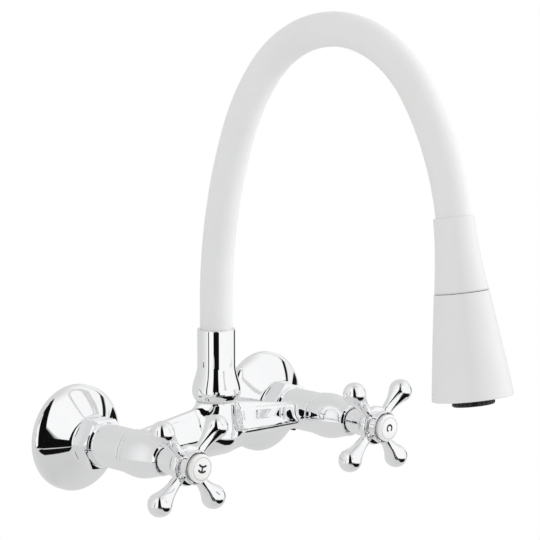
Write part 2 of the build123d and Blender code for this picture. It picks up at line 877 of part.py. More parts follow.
def arm_section(x, front, back, ridge, facet_top, facet_bottom, keel):
    """Upright front facet, sloping shoulders to a ridge and a boat-shaped underside."""
    middle = (front + back) / 2
    crest = arm_crest_width / 2
    points = [
        (front, facet_top),
        (front, facet_bottom),
        (middle + crest, keel),
        (middle - crest, keel),
        (back, facet_bottom),
        (back, facet_top),
        (middle - crest, ridge),
        (middle + crest, ridge),
    ]
    with BuildSketch(Plane(origin=(x, 0, 0), x_dir=(0, -1, 0), z_dir=(-1, 0, 0))) as section:
        with BuildLine():
            Polyline(*points, close=True)
        make_face()
    return section.sketch


with BuildPart() as bridge_body:
    for x in valve_x.values():
        barrel = [
            (0, barrel_start_out),
            (barrel_radius, barrel_start_out),
            (barrel_radius, groove_start_out),
            (barrel_groove_radius, groove_start_out),
            (barrel_groove_radius, bead_start_out),
            (barrel_bead_radius, bead_start_out),
            (barrel_bead_radius, barrel_end_out),
            (0, barrel_end_out),
        ]
        revolve(outline_face(profile_plane(x), barrel), axis=valve_axis(x))
    loft(
        [
            arm_section(-arm_tip_x, *arm_tip),
            arm_section(-arm_root_x, *arm_root),
            arm_section(arm_root_x, *arm_root),
            arm_section(arm_tip_x, *arm_tip),
        ],
        ruled=True,
    )
    with BuildSketch(spout_profile):
        with BuildLine():
            foot = Line((0, hub_bottom), (hub_radius - hub_bottom_round, hub_bottom))
            turn = TangentArc(foot @ 1, (hub_radius, hub_bottom + hub_bottom_round), tangent=(1, 0))
            Polyline(turn @ 1, (hub_radius, hub_top), (0, hub_top), foot @ 0)
        make_face()
    revolve(axis=spout_axis)
    seams = bridge_body.edges().filter_by(GeomType.BSPLINE)
    fillet(seams.filter_by(lambda edge: abs(edge.center().X) < hub_radius), radius=hub_blend)
    seams = bridge_body.edges().filter_by(GeomType.BSPLINE)
    keel_level = (arm_root_keel + arm_tip_keel) / 2
    fillet(seams.filter_by(lambda edge: abs(edge.center().Z - keel_level) < keel_round), radius=keel_round)
    # Water passages: hub bore, the way across through both arms, and each valve chamber
    with BuildSketch(Plane(origin=(0, -spout_out, hub_bore_floor))):
        Circle(hub_bore_radius)
    extrude(amount=hub_top - hub_bore_floor, mode=Mode.SUBTRACT)
    with BuildSketch(Plane(origin=(valve_x["hot"], -waterway_out, waterway_height), z_dir=(1, 0, 0))):
        Circle(waterway_radius)
    extrude(amount=inlet_spacing, mode=Mode.SUBTRACT)
    for x in valve_x.values():
        passage = [
            (0, barrel_start_out),
            (tail_radius + thread_gap, barrel_start_out),
            (tail_radius + thread_gap, tail_end_out + face_gap),
            (seat_bore_radius, tail_end_out + face_gap),
            (seat_bore_radius, seat_out),
            (chamber_radius, seat_out),
            (chamber_radius, chamber_end_out),
            (cage_radius + thread_gap, chamber_end_out),
            (cage_radius + thread_gap, barrel_end_out - ring_section - ring_grip),
            (cage_radius + mouth_seal_width + 2 * ring_grip, barrel_end_out - ring_section - ring_grip),
            (cage_radius + mouth_seal_width + 2 * ring_grip, barrel_end_out),
            (0, barrel_end_out),
        ]
        revolve(outline_face(profile_plane(x), passage), axis=valve_axis(x), mode=Mode.SUBTRACT)
    # Tapped hole for the screw that keeps the spout in the hub
    with BuildSketch(Plane(origin=(0, -spout_out, lock_groove_height), z_dir=(0, 1, 0))):
        Circle(lock_screw_radius + thread_gap)
    extrude(amount=2 * hub_radius, mode=Mode.SUBTRACT)
keep("bridge_body", bridge_body)

# ---------------------------------------------------------------------------
# Spout collar and its small parts
# ---------------------------------------------------------------------------

seal_floor = spigot_radius - ring_section / 2

with BuildPart() as spout_collar:
    with BuildSketch(spout_profile):
        with BuildLine():
            base = Line((spigot_radius, collar_base), (collar_bottom_radius, collar_base))
            under = ThreePointArc(
                base @ 1,
                (collar_bell_radius - 0.5, collar_base + collar_bell_height / 2),
                (collar_bell_radius, collar_bell),
            )
            bell = Spline(
                under @ 1,
                (collar_tube_radius, collar_tube_start),
                tangents=[(0, 1), (0, 1)],
            )
            tube = Line(bell @ 1, (collar_tube_radius, collar_top - collar_lip))
            lip = ThreePointArc(
                tube @ 1,
                (collar_tube_radius - collar_lip * 0.3, collar_top - collar_lip * 0.3),
                (collar_tube_radius - collar_lip, collar_top),
            )
            inside = Polyline(
                lip @ 1,
                (sleeve_radius + slip_gap, collar_top),
                (sleeve_radius + slip_gap, sleeve_start_height),
                (core_radius + slip_gap, sleeve_start_height),
                (core_radius + slip_gap, core_start_height),
                (hose_radius + slip_gap, core_start_height),
                (hose_radius + slip_gap, hose_start_height),
                (spigot_bore_radius, hose_start_height),
                (spigot_bore_radius, spigot_end),
                (spigot_radius, spigot_end),
            )
            Line(inside @ 1, base @ 0)
        make_face()
    revolve(axis=spout_axis)
    for height in spigot_ring_heights:
        groove = ring_points(seal_floor, hub_bore_radius, height - ring_section / 2, height + ring_section / 2)
        revolve(outline_face(spout_profile, groove), axis=spout_axis, mode=Mode.SUBTRACT)
    groove = ring_points(
        spigot_radius - lock_groove_depth,
        hub_bore_radius,
        lock_groove_height - lock_groove_width / 2,
        lock_groove_height + lock_groove_width / 2,
    )
    revolve(outline_face(spout_profile, groove), axis=spout_axis, mode=Mode.SUBTRACT)
keep("spout_collar", spout_collar)

with BuildPart() as swivel_seals:
    for height in spigot_ring_heights:
        half = ring_section / 2 - ring_grip
        section = ring_points(seal_floor + ring_grip, hub_bore_radius - ring_grip, height - half, height + half)
        revolve(outline_face(spout_profile, section), axis=spout_axis)
keep("swivel_seals", swivel_seals)

with BuildPart() as swivel_washer:
    extrude(
        ring_face(Plane(origin=(0, -spout_out, hub_top)), collar_bottom_radius - washer_inset, hub_bore_radius),
        amount=washer_thickness - ring_grip,
    )
keep("swivel_washer", swivel_washer)

lock_tip = spigot_radius - lock_groove_depth + slip_gap
lock_head_y = hub_radius - lock_screw_recess - spout_out
with BuildPart() as spout_lock_screw:
    with BuildSketch(Plane(origin=(0, -spout_out + lock_tip, lock_groove_height), z_dir=(0, 1, 0))):
        Circle(lock_screw_radius)
    extrude(amount=hub_radius - lock_tip - lock_screw_recess)
    with BuildSketch(Plane(origin=(0, lock_head_y, lock_groove_height), z_dir=(0, 1, 0))):
        RegularPolygon(radius=lock_screw_socket, side_count=6)
    extrude(amount=-lock_screw_socket_depth, mode=Mode.SUBTRACT)
keep("spout_lock_screw", spout_lock_screw)

# ---------------------------------------------------------------------------
# Gooseneck: sleeve, core and hose follow one route
# ---------------------------------------------------------------------------


def neck_route(start_height, past_tip):
    """The spout's centreline: riser, four tangent arcs and a straight run into the head."""
    with BuildLine(Plane.YZ) as route:
        run = Line((-spout_out, start_height), (-spout_out, riser_top))
        for radius, angle in zip(arch_radii, arch_angles):
            run = JernArc(start=run @ 1, tangent=run % 1, radius=radius, arc_size=angle)
        Line(run @ 1, run @ 1 + (run % 1) * (tip_run + past_tip))
    return route.wires()[0]


def make_neck_tube(start_height, past_tip, outer, inner):
    route = neck_route(start_height, past_tip)
    with BuildPart() as tube:
        with BuildSketch(Plane(origin=route @ 0, z_dir=route % 0)):
            Circle(outer)
            Circle(inner, mode=Mode.SUBTRACT)
        sweep(path=route)
    return tube


sleeve_route = neck_route(sleeve_start_height, 0)
silicone_sleeve = make_neck_tube(sleeve_start_height, 0, sleeve_radius, sleeve_bore_radius)
gooseneck_core = make_neck_tube(core_start_height, core_past_sleeve, core_radius, core_bore_radius)
inner_hose = make_neck_tube(hose_start_height, hose_past_tip, hose_radius, hose_bore_radius)
keep("silicone_sleeve", silicone_sleeve)
keep("gooseneck_core", gooseneck_core)
keep("inner_hose", inner_hose)

# ---------------------------------------------------------------------------
# Spray head, about the axis in which the gooseneck ends
# ---------------------------------------------------------------------------

head_direction = sleeve_route % 1
head_origin = sleeve_route @ 1 - head_direction * head_grip_depth
head_axis = Axis(head_origin, head_direction)
head_profile = Plane(origin=head_origin, x_dir=(1, 0, 0), z_dir=Vector(1, 0, 0).cross(head_direction))


def head_plane(depth):
    """A plane across the head's axis at a depth below its top rim."""
    return Plane(origin=head_origin + head_direction * depth, x_dir=(1, 0, 0), z_dir=head_direction)

with BuildPart() as head_upper_shell:
    with BuildSketch(head_profile):
        with BuildLine():
            top = Line((head_grip_radius, 0), (head_top_radius - head_edge_round, 0))
            edge = ThreePointArc(
                top @ 1,
                (head_top_radius - head_edge_round * 0.3, head_edge_round * 0.3),
                (head_top_radius, head_edge_round),
            )
            flank = Spline(
                edge @ 1,
                (head_waist_radius, head_waist_depth),
                (head_seam_radius, head_seam_depth),
            )
            inside = Polyline(
                flank @ 1,
                (head_seam_radius - head_wall, head_seam_depth),
                (spigot_down_radius + 2 * head_wall, connector_end_depth),
                (spigot_down_radius + thread_gap, connector_end_depth),
                (spigot_down_radius + thread_gap, grip_floor_depth),
                (head_grip_radius, grip_floor_depth),
            )
            Line(inside @ 1, top @ 0)
        make_face()
    revolve(axis=head_axis)
keep("head_upper_shell", head_upper_shell)

with BuildPart() as head_connector:
    outline = [
        (core_radius + slip_gap, grip_floor_depth),
        (spigot_down_radius, grip_floor_depth),
        (spigot_down_radius, connector_end_depth),
        (stem_thread_radius + thread_gap, connector_end_depth),
        (stem_thread_radius + thread_gap, stem_start_depth - face_gap),
        (hose_radius + slip_gap, stem_start_depth - face_gap),
        (hose_radius + slip_gap, core_end_depth),
        (core_radius + slip_gap, core_end_depth),
    ]
    revolve(outline_face(head_profile, outline), axis=head_axis)
keep("head_connector", head_connector)

with BuildPart() as diverter_core:
    groove_floor = stem_radius - clip_groove_depth
    clip_end_depth = clip_depth + clip_thickness
    outline = [
        (stem_bore_radius, stem_start_depth),
        (stem_thread_radius, stem_start_depth),
        (stem_thread_radius, connector_end_depth + face_gap),
        (stem_radius, connector_end_depth + face_gap),
        (stem_radius, stem_collar_depth),
        (stem_collar_radius, stem_collar_depth),
        (stem_collar_radius, stem_collar_end_depth),
        (stem_radius, stem_collar_end_depth),
        (stem_radius, clip_depth),
        (groove_floor, clip_depth),
        (groove_floor, clip_end_depth),
        (stem_radius, clip_end_depth),
        (stem_radius, stem_end_depth),
        (0, stem_end_depth),
        (0, stem_end_depth - head_wall),
        (stem_bore_radius, stem_end_depth - head_wall),
    ]
    revolve(outline_face(head_profile, outline), axis=head_axis)
    port_depth = (clip_end_depth + stem_end_depth) / 2
    for index in range(stem_ports):
        angle = radians(index * 360 / stem_ports)
        across = head_plane(port_depth)
        direction = across.x_dir * cos(angle) + across.y_dir * sin(angle)
        with BuildSketch(Plane(origin=across.origin, z_dir=direction)):
            Circle(stem_port_radius)
        extrude(amount=2 * stem_radius, mode=Mode.SUBTRACT)
keep("diverter_core", diverter_core)

with BuildPart() as stem_seal:
    section = ring_points(
        stem_radius + ring_grip,
        stem_radius + ring_section,
        stem_collar_end_depth + ring_grip,
        web_depth - ring_grip,
    )
    revolve(outline_face(head_profile, section), axis=head_axis)
keep("stem_seal", stem_seal)

with BuildPart() as stem_clip:
    with BuildSketch(head_plane(clip_depth + ring_grip)):
        Circle(clip_radius)
        Circle(stem_radius - clip_groove_depth + ring_grip, mode=Mode.SUBTRACT)
        with Locations((0, -clip_radius)):
            Rectangle(stem_radius, 2 * clip_radius, mode=Mode.SUBTRACT)
    extrude(amount=clip_thickness - 2 * ring_grip)
keep("stem_clip", stem_clip)

with BuildPart() as head_lower_shell:
    with BuildSketch(head_profile):
        with BuildLine():
            seam = Line((head_skirt_radius - head_wall, skirt_start_depth), (head_skirt_radius, skirt_start_depth))
            flank = ThreePointArc(
                seam @ 1,
                (head_mid_radius, head_mid_depth),
                (head_rim_radius, head_length - head_edge_round),
            )
            edge = ThreePointArc(
                flank @ 1,
                (head_rim_radius - head_edge_round * 0.3, head_length - head_edge_round * 0.3),
                (head_rim_radius - head_edge_round, head_length),
            )
            rim = Line(edge @ 1, (head_rim_radius - head_wall, head_length))
            inner_flank = ThreePointArc(
                rim @ 1,
                (head_mid_radius - head_wall, head_mid_depth),
                seam @ 0,
            )
        make_face()
    revolve(axis=head_axis)
    web_reach = head_skirt_radius - head_wall / 2
    web = ring_points(stem_radius + turning_gap, web_reach, web_depth, web_end_depth)
    revolve(outline_face(head_profile, web), axis=head_axis)
keep("head_lower_shell", head_lower_shell)

with BuildPart() as spray_plate:
    skirt_slope = (head_rim_radius - head_mid_radius) / (head_length - head_mid_depth)
    plate_radius = head_rim_radius - head_wall - spray_plate_recess * skirt_slope - slip_gap
    section = ring_points(
        aerator_thread_radius + thread_gap,
        plate_radius,
        spray_plate_depth,
        spray_plate_end_depth,
    )
    revolve(outline_face(head_profile, section), axis=head_axis)
    with BuildSketch(head_plane(spray_plate_depth)):
        with PolarLocations(spray_nozzle_circle, spray_nozzle_count):
            Circle(spray_nozzle_radius)
    extrude(amount=spray_plate_thickness, mode=Mode.SUBTRACT)
keep("spray_plate", spray_plate)

with BuildPart() as aerator_housing:
    outline = [
        (aerator_bore_radius, aerator_start_depth),
        (aerator_thread_radius, aerator_start_depth),
        (aerator_thread_radius, aerator_flange_depth),
        (aerator_radius, aerator_flange_depth),
        (aerator_radius, aerator_end_depth - head_edge_round),
        (aerator_radius - head_edge_round, aerator_end_depth),
        (aerator_bore_radius - aerator_lip_width, aerator_end_depth),
        (aerator_bore_radius - aerator_lip_width, aerator_end_depth - aerator_lip_length),
        (aerator_bore_radius, aerator_end_depth - aerator_lip_length),
    ]
    revolve(outline_face(head_profile, outline), axis=head_axis)
    with BuildSketch(head_plane(aerator_flange_depth)):
        with PolarLocations(aerator_radius, aerator_ribs):
            Circle(aerator_rib_depth)
    extrude(amount=aerator_end_depth - aerator_flange_depth, mode=Mode.SUBTRACT)
keep("aerator_housing", aerator_housing)

with BuildPart() as aerator_insert:
    insert_depth = aerator_end_depth - aerator_lip_length - insert_thickness
    extrude(ring_face(head_plane(insert_depth), aerator_bore_radius - slip_gap), amount=insert_thickness)
    with BuildSketch(head_plane(insert_depth)):
        with PolarLocations(insert_hole_circle, insert_holes):
            Circle(insert_hole_radius)
        with PolarLocations(insert_hole_circle / 2, insert_holes // 2):
            Circle(insert_hole_radius)
    extrude(amount=insert_thickness, mode=Mode.SUBTRACT)
keep("aerator_insert", aerator_insert)

with BuildPart() as aerator_gasket:
    gasket_depth = insert_depth - aerator_gasket_thickness
    face = ring_face(head_plane(gasket_depth), aerator_bore_radius - slip_gap, aerator_gasket_bore)
    extrude(face, amount=aerator_gasket_thickness - ring_grip)
keep("aerator_gasket", aerator_gasket)
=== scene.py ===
import json
from itertools import pairwise
from math import cos, pi, radians, sin, sqrt

import bmesh
import bpy
from mathutils import Matrix, Vector
from mathutils.bvhtree import BVHTree
from mathutils.geometry import interpolate_bezier


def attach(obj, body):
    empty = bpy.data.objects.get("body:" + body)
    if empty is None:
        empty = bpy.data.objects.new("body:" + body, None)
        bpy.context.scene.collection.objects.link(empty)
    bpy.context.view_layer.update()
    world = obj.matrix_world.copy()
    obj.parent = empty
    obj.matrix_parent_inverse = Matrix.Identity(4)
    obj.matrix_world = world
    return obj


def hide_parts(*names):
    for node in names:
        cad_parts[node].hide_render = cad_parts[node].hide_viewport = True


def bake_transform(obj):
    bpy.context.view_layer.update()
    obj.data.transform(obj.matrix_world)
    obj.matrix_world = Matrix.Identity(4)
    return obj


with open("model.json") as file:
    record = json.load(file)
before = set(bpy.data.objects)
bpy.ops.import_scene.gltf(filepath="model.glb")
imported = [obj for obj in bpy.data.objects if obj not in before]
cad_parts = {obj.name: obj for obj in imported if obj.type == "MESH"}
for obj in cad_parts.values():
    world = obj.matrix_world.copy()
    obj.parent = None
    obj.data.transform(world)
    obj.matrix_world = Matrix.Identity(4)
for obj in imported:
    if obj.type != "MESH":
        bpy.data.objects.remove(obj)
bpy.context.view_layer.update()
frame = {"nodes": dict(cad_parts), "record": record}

# Sizes below are millimetres, as in the part's source. Along a valve, "out" is the distance from the wall.
MM = 0.001
SPOUT_OUT = 41.7
VALVES = {"hot": -75.0, "cold": 75.0}
NUT_FLATS = 28.0
NUT_TURNS = {"hot": 27.0, "cold": 15.0}
HANDLE_TURNS = {"hot": 41.7, "cold": 40.0}
ARMS_OUT = 100.5  # the plane in which the arms of a cross handle lie
BUTTON_FACE_OUT = 112.2

# The neck rises straight to a height, bends over four arcs of (radius, degrees) and ends straight in the head.
RISER_TOP = 74.9
NECK_ARCS = ((279.0, 21.7), (125.0, 19.6), (75.4, 102.9), (150.0, 26.7))
NECK_END = 10.0
HEAD_OVERLAP = 9.4  # how far the head's rim reaches up round the neck

CAMERA_TURN = -43.71  # degrees from straight ahead
PHOTO_PIXELS = 540
SENSOR_WIDTH = 36


# ---------------------------------------------------------------------------------------------
# Camera: where the photograph was taken from
# ---------------------------------------------------------------------------------------------

def make_camera(turn, height, distance, focal_pixels, aim, slide, lift):
    """A camera at an azimuth and elevation in degrees, slid sideways and lifted, looking level with its own aim."""
    turn, height = radians(turn), radians(height)
    back = Vector((sin(turn) * cos(height), -cos(turn) * cos(height), sin(height)))
    right = Vector((cos(turn), sin(turn), 0))
    up = back.cross(right)
    lens = bpy.data.cameras.new("photo_camera")
    lens.sensor_width = SENSOR_WIDTH
    lens.lens = SENSOR_WIDTH * focal_pixels / PHOTO_PIXELS
    lens.clip_end = 50
    camera = bpy.data.objects.new("photo_camera", lens)
    camera.matrix_world = Matrix((
        (right.x, up.x, back.x, 0), (right.y, up.y, back.y, 0), (right.z, up.z, back.z, 0), (0, 0, 0, 1),
    ))
    camera.location = (Vector(aim) + right * slide + up * lift + back * distance) * MM
    bpy.context.scene.collection.objects.link(camera)
    bpy.context.scene.camera = camera


make_camera(turn=CAMERA_TURN, height=8.57, distance=1351.7, focal_pixels=2326.5, aim=(0, -70, 80), slide=12.2,
            lift=18.3)


# ---------------------------------------------------------------------------------------------
# Materials
# ---------------------------------------------------------------------------------------------

def colour(code):
    """sRGB hex, such as "#EDEDEE", as linear RGBA."""
    parts = [int(code[i:i + 2], 16) / 255 for i in (1, 3, 5)]
    return [p / 12.92 if p <= 0.04045 else ((p + 0.055) / 1.055) ** 2.4 for p in parts] + [1.0]


def add_node(tree, kind, settings=(), inputs=(), links=()):
    """One node with its settings and socket values, and links given as (input, node, output)."""
    node = tree.nodes.new(kind)
    for name, value in dict(settings).items():
        setattr(node, name, value)
    for name, value in dict(inputs).items():
        node.inputs[name].default_value = value
    for name, source, output in links:
        tree.links.new(source.outputs[output], node.inputs[name])
    return node


def new_finish(name, constants):
    """A material with its shader's constant sockets set, ready for the pattern nodes."""
    finish = bpy.data.materials.new(name)
    finish.use_nodes = True
    shader = finish.node_tree.nodes["Principled BSDF"]
    for socket, value in constants.items():
        shader.inputs[socket].default_value = value
    place = add_node(finish.node_tree, "ShaderNodeTexCoord")
    return finish, finish.node_tree, shader, place


def set_ramp(ramp, stops):
    """Writes (position, colour) stops into a ColorRamp."""
    points = ramp.color_ramp.elements
    while len(points) > 1:
        points.remove(points[-1])
    for index, (position, shade) in enumerate(stops):
        point = points[0] if index == 0 else points.new(position)
        point.position = position
        point.color = shade


def make_chrome():
    """Nickel-chrome plate on polished castings: a mirror, a little cool, with the faint waviness that the
    buffing wheel leaves and a trace of haze where water has dried."""
    finish, tree, shader, place = new_finish("polished_chrome_plate", {"Metallic": 1.0})
    haze = add_node(tree, "ShaderNodeTexNoise", inputs={"Scale": 90.0, "Detail": 3.0, "Roughness": 0.55},
                    links=[("Vector", place, "Object")])
    rough = add_node(tree, "ShaderNodeMapRange", links=[("Value", haze, "Fac")],
                     inputs={"From Min": 0.35, "From Max": 0.75, "To Min": 0.018, "To Max": 0.045})
    tree.links.new(rough.outputs["Result"], shader.inputs["Roughness"])
    tint = add_node(tree, "ShaderNodeValToRGB", links=[("Fac", haze, "Fac")])
    set_ramp(tint, [(0.3, colour("#FAFAFB")), (0.7, colour("#F7F8F9"))])
    tree.links.new(tint.outputs["Color"], shader.inputs["Base Color"])
    wave = add_node(tree, "ShaderNodeTexNoise", inputs={"Scale": 38.0, "Detail": 1.0},
                    links=[("Vector", place, "Object")])
    bump = add_node(tree, "ShaderNodeBump", inputs={"Strength": 0.1, "Distance": 0.00008},
                    links=[("Height", wave, "Fac")])
    tree.links.new(bump.outputs["Normal"], shader.inputs["Normal"])
    return finish


def make_metal(name, light, dark, roughness, grain):
    """Turned metal: fine rings left by the tool, drawn as grain of the given size in millimetres."""
    finish, tree, shader, place = new_finish(name, {"Metallic": 1.0})
    noise = add_node(tree, "ShaderNodeTexNoise", inputs={"Scale": 1000 / grain, "Detail": 4.0},
                     links=[("Vector", place, "Object")])
    tint = add_node(tree, "ShaderNodeValToRGB", links=[("Fac", noise, "Fac")])
    set_ramp(tint, [(0.3, colour(dark)), (0.7, colour(light))])
    tree.links.new(tint.outputs["Color"], shader.inputs["Base Color"])
    rough = add_node(tree, "ShaderNodeMapRange", inputs={"To Min": roughness * 0.8, "To Max": roughness * 1.2},
                     links=[("Value", noise, "Fac")])
    tree.links.new(rough.outputs["Result"], shader.inputs["Roughness"])
    bump = add_node(tree, "ShaderNodeBump", inputs={"Strength": 0.2, "Distance": 0.00004},
                    links=[("Height", noise, "Fac")])
    tree.links.new(bump.outputs["Normal"], shader.inputs["Normal"])
    return finish


def make_moulded(name, light, dark, roughness, grain, depth, constants):
    """Moulded plastic or rubber: an even colour with a trace of flow, and the mould's fine texture as a bump."""
    finish, tree, shader, place = new_finish(name, constants)
    flow = add_node(tree, "ShaderNodeTexNoise", inputs={"Scale": 22.0, "Detail": 2.0},
                    links=[("Vector", place, "Object")])
    tint = add_node(tree, "ShaderNodeValToRGB", links=[("Fac", flow, "Fac")])
    set_ramp(tint, [(0.35, colour(dark)), (0.65, colour(light))])
    tree.links.new(tint.outputs["Color"], shader.inputs["Base Color"])
    rough = add_node(tree, "ShaderNodeMapRange", inputs={"To Min": roughness * 0.85, "To Max": roughness * 1.15},
                     links=[("Value", flow, "Fac")])
    tree.links.new(rough.outputs["Result"], shader.inputs["Roughness"])
    texture = add_node(tree, "ShaderNodeTexNoise", inputs={"Scale": 1000 / grain, "Detail": 2.0},
                       links=[("Vector", place, "Object")])
    bump = add_node(tree, "ShaderNodeBump", inputs={"Strength": 0.3, "Distance": depth * MM},
                    links=[("Height", texture, "Fac")])
    tree.links.new(bump.outputs["Normal"], shader.inputs["Normal"])
    return finish


chrome = make_chrome()
# Free-cutting brass as it leaves the lathe: warm yellow, with fine rings that spread the highlight.
brass = make_metal("turned_brass", "#D9BE7C", "#C7A866", 0.28, 0.4)
# Drawn and turned stainless steel is left bare: a neutral grey with a soft, wide highlight.
steel = make_metal("stainless_steel", "#C6C8CA", "#AEB1B4", 0.3, 0.4)
# Silicone rubber scatters light just under its skin and takes only a dull, wide highlight.
silicone = make_moulded("matt_white_silicone", "#F8F8F8", "#F5F5F5", 0.62, 0.5, 0.02,
                        {"IOR": 1.41, "Subsurface Weight": 0.12, "Subsurface Scale": 0.0015})
# ABS from a fine-spark-eroded mould is satin rather than glossy.
abs_white = make_moulded("satin_white_abs", "#F6F6F6", "#F3F3F3", 0.42, 0.35, 0.012, {"IOR": 1.53})
# Glazed porcelain is smooth and wet-looking, with the faintest warmth.
porcelain = make_moulded("glazed_porcelain", "#FFFFFF", "#FCFCFB", 0.07, 3.0, 0.01,
                         {"IOR": 1.5, "Coat Weight": 0.6, "Coat Roughness": 0.03})
# Enamel fired into the glaze: black for the letters and grey for the ring, glossy and hardly raised.
ink = make_moulded("fired_black_enamel", "#1C1C1E", "#161618", 0.22, 1.0, 0.005, {"IOR": 1.5})
grey_line = make_moulded("fired_grey_enamel", "#B9BABC", "#B1B2B4", 0.25, 1.0, 0.005, {"IOR": 1.5})
# Injection-moulded acetal is black with a waxy, half-dull skin.
acetal = make_moulded("moulded_black_acetal", "#1B1B1C", "#131314", 0.34, 0.3, 0.01, {"IOR": 1.48})
# Pressed nitrile rubber is black and nearly matt.
nitrile = make_moulded("black_nitrile_rubber", "#1E1E1F", "#171718", 0.6, 0.3, 0.02, {"IOR": 1.52})
# Sintered PTFE is chalky white and slippery, with a low sheen.
ptfe = make_moulded("sintered_ptfe", "#EFEEEA", "#E9E8E3", 0.5, 0.4, 0.01, {"IOR": 1.35})
# Extruded cross-linked polythene is milky: light enters it and comes out soft.
polythene = make_moulded("milky_polythene", "#DDE1E4", "#D3D8DC", 0.35, 0.6, 0.01,
                         {"IOR": 1.51, "Subsurface Weight": 0.3, "Subsurface Scale": 0.001})
# Alumina discs are lapped flat, so ivory-coloured ceramic shines almost like glass.
alumina = make_moulded("lapped_alumina", "#EDE9DF", "#E6E1D5", 0.18, 0.2, 0.004, {"IOR": 1.76})

finishes = {
    "chrome_plate": chrome, "brass": brass, "steel": steel, "white_silicone": silicone, "white_abs": abs_white,
    "white_porcelain": porcelain, "black_plastic": acetal, "black_rubber": nitrile, "white_ptfe": ptfe,
    "clear_hose": polythene, "ceramic": alumina,
}

for subpart in frame["record"]["subparts"]:
    node = frame["nodes"][subpart["node"]]
    node.data.materials.clear()
    node.data.materials.append(finishes[subpart["material_slot"]])


# ---------------------------------------------------------------------------------------------
# Shaping tools
# ---------------------------------------------------------------------------------------------

def on_valve(x):
    """Local Z runs out from the wall along a valve's axis, in metres."""
    return Matrix(((MM, 0, 0, x * MM), (0, 0, -MM, 0), (0, MM, 0, 0), (0, 0, 0, 1)))


def on_spout():
    """Local Z runs up the spout's axis."""
    return Matrix.Translation((0, -SPOUT_OUT * MM, 0)) @ Matrix.Scale(MM, 4)


def neck_route():
    """The neck's arcs, each (centre, radius, angle), and the place and direction in which the last one ends."""
    arcs, at, heading = [], Vector((0, -SPOUT_OUT, RISER_TOP)), 0.0
    for radius, degrees in NECK_ARCS:
        centre = at + Vector((0, -cos(heading), -sin(heading))) * radius
        arcs.append((centre, radius, radians(degrees)))
        heading += radians(degrees)
        at = centre + Vector((0, cos(heading), sin(heading))) * radius
    return arcs, at, Vector((0, -sin(heading), cos(heading)))


def on_head():
    """Local Z runs down the spray head's axis from its top rim."""
    _, neck_end, down = neck_route()
    across = Vector((1, 0, 0))
    turned = Matrix((across, down.cross(across), down)).transposed().to_4x4()
    rim = neck_end + down * (NECK_END - HEAD_OVERLAP)
    return Matrix.Translation(rim * MM) @ turned @ Matrix.Scale(MM, 4)


def round_edges(piece, width, segments, angle):
    """Rounds edges sharper than an angle in degrees, and keeps the flat faces between them flat to the eye."""
    edge = piece.modifiers.new("rounded_edges", "BEVEL")
    edge.width, edge.segments = width * MM, segments
    edge.limit_method, edge.angle_limit = "ANGLE", radians(angle)
    flat = piece.modifiers.new("flat_faces_stay_flat", "WEIGHTED_NORMAL")
    flat.keep_sharp, flat.weight = True, 80


def finish_piece(name, shape, place, material, bevel=0.0):
    """Turns a bmesh in millimetres into a smooth-shaded object, with a small rounded edge where it is asked for."""
    bmesh.ops.remove_doubles(shape, verts=shape.verts, dist=0.0005)
    bmesh.ops.recalc_face_normals(shape, faces=shape.faces)
    shape.transform(place)
    mesh = bpy.data.meshes.new(name)
    shape.to_mesh(mesh)
    shape.free()
    mesh.materials.append(material)
    mesh.shade_smooth()
    piece = bpy.data.objects.new(name, mesh)
    bpy.context.scene.collection.objects.link(piece)
    if bevel:
        round_edges(piece, bevel, segments=3, angle=28)
    return piece


def outline_points(outline, steps):
    """The run of points of an outline of (radius, along) corners and (radius, along, direction) curve knots."""
    knots = [(Vector((k[0], 0, k[1])), Vector((k[2][0], 0, k[2][1])).normalized() if len(k) > 2 else None)
             for k in outline]
    points = [knots[0][0]]
    for (here, leaving), (there, arriving) in pairwise(knots):
        if leaving and arriving:
            reach = (there - here).length / 2.8
            points += interpolate_bezier(here, here + leaving * reach, there - arriving * reach, there, steps)[1:]
        else:
            points.append(there)
    return points


def turn_outline(shape, outline, sides=96, steps=12, closed=True):
    """Spins an outline round local Z into a turned form."""
    corners = [shape.verts.new(point) for point in outline_points(outline, steps)]
    edges = [shape.edges.new(pair) for pair in pairwise(corners)]
    if closed:
        edges.append(shape.edges.new((corners[-1], corners[0])))
    bmesh.ops.spin(shape, geom=corners + edges, cent=(0, 0, 0), axis=(0, 0, 1), angle=2 * pi, steps=sides,
                   use_merge=True)


def turned_piece(name, outline, place, material, bevel=0.0, sides=96, steps=12, closed=True):
    """A finished piece spun from one outline."""
    shape = bmesh.new()
    turn_outline(shape, outline, sides, steps, closed)
    return finish_piece(name, shape, place, material, bevel)


def settle(piece, body, slot, *nodes):
    """Rides the piece on its body and lets it stand for its CAD nodes."""
    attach(piece, body)
    if nodes:
        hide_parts(*nodes)
    return piece


def apply_modifiers(piece):
    """Replaces the piece's mesh by its finished one."""
    graph = bpy.context.evaluated_depsgraph_get()
    graph.update()
    mesh = bpy.data.meshes.new_from_object(piece.evaluated_get(graph))
    piece.modifiers.clear()
    piece.data = mesh
    return piece


# ---------------------------------------------------------------------------------------------
# Wall connections: domed flange and union nut
# ---------------------------------------------------------------------------------------------

def make_wall_flange(side, x):
    """A thin spun dome: upright rim, crisp shoulder, nearly straight cone and a short neck, hollow behind."""
    outline = [
        (31.3, 0), (31.3, 3.6), (31.29, 3.61, (-0.72, 1)), (27.9, 7.0, (-1, 0.75)), (16.4, 15.2, (-1, 0.7)),
        (14.3, 17.7, (-0.2, 1)), (12.9, 17.7), (12.9, 16.4, (1, -0.7)), (27.1, 6.1, (1, -0.75)), (30.2, 3.0),
        (30.2, 0),
    ]
    flange = turned_piece(f"{side}_flange_dome", outline, on_valve(x), chrome, bevel=0.3, sides=128, steps=20)
    settle(flange, "root", "chrome_plate", f"{side}_wall_flange")


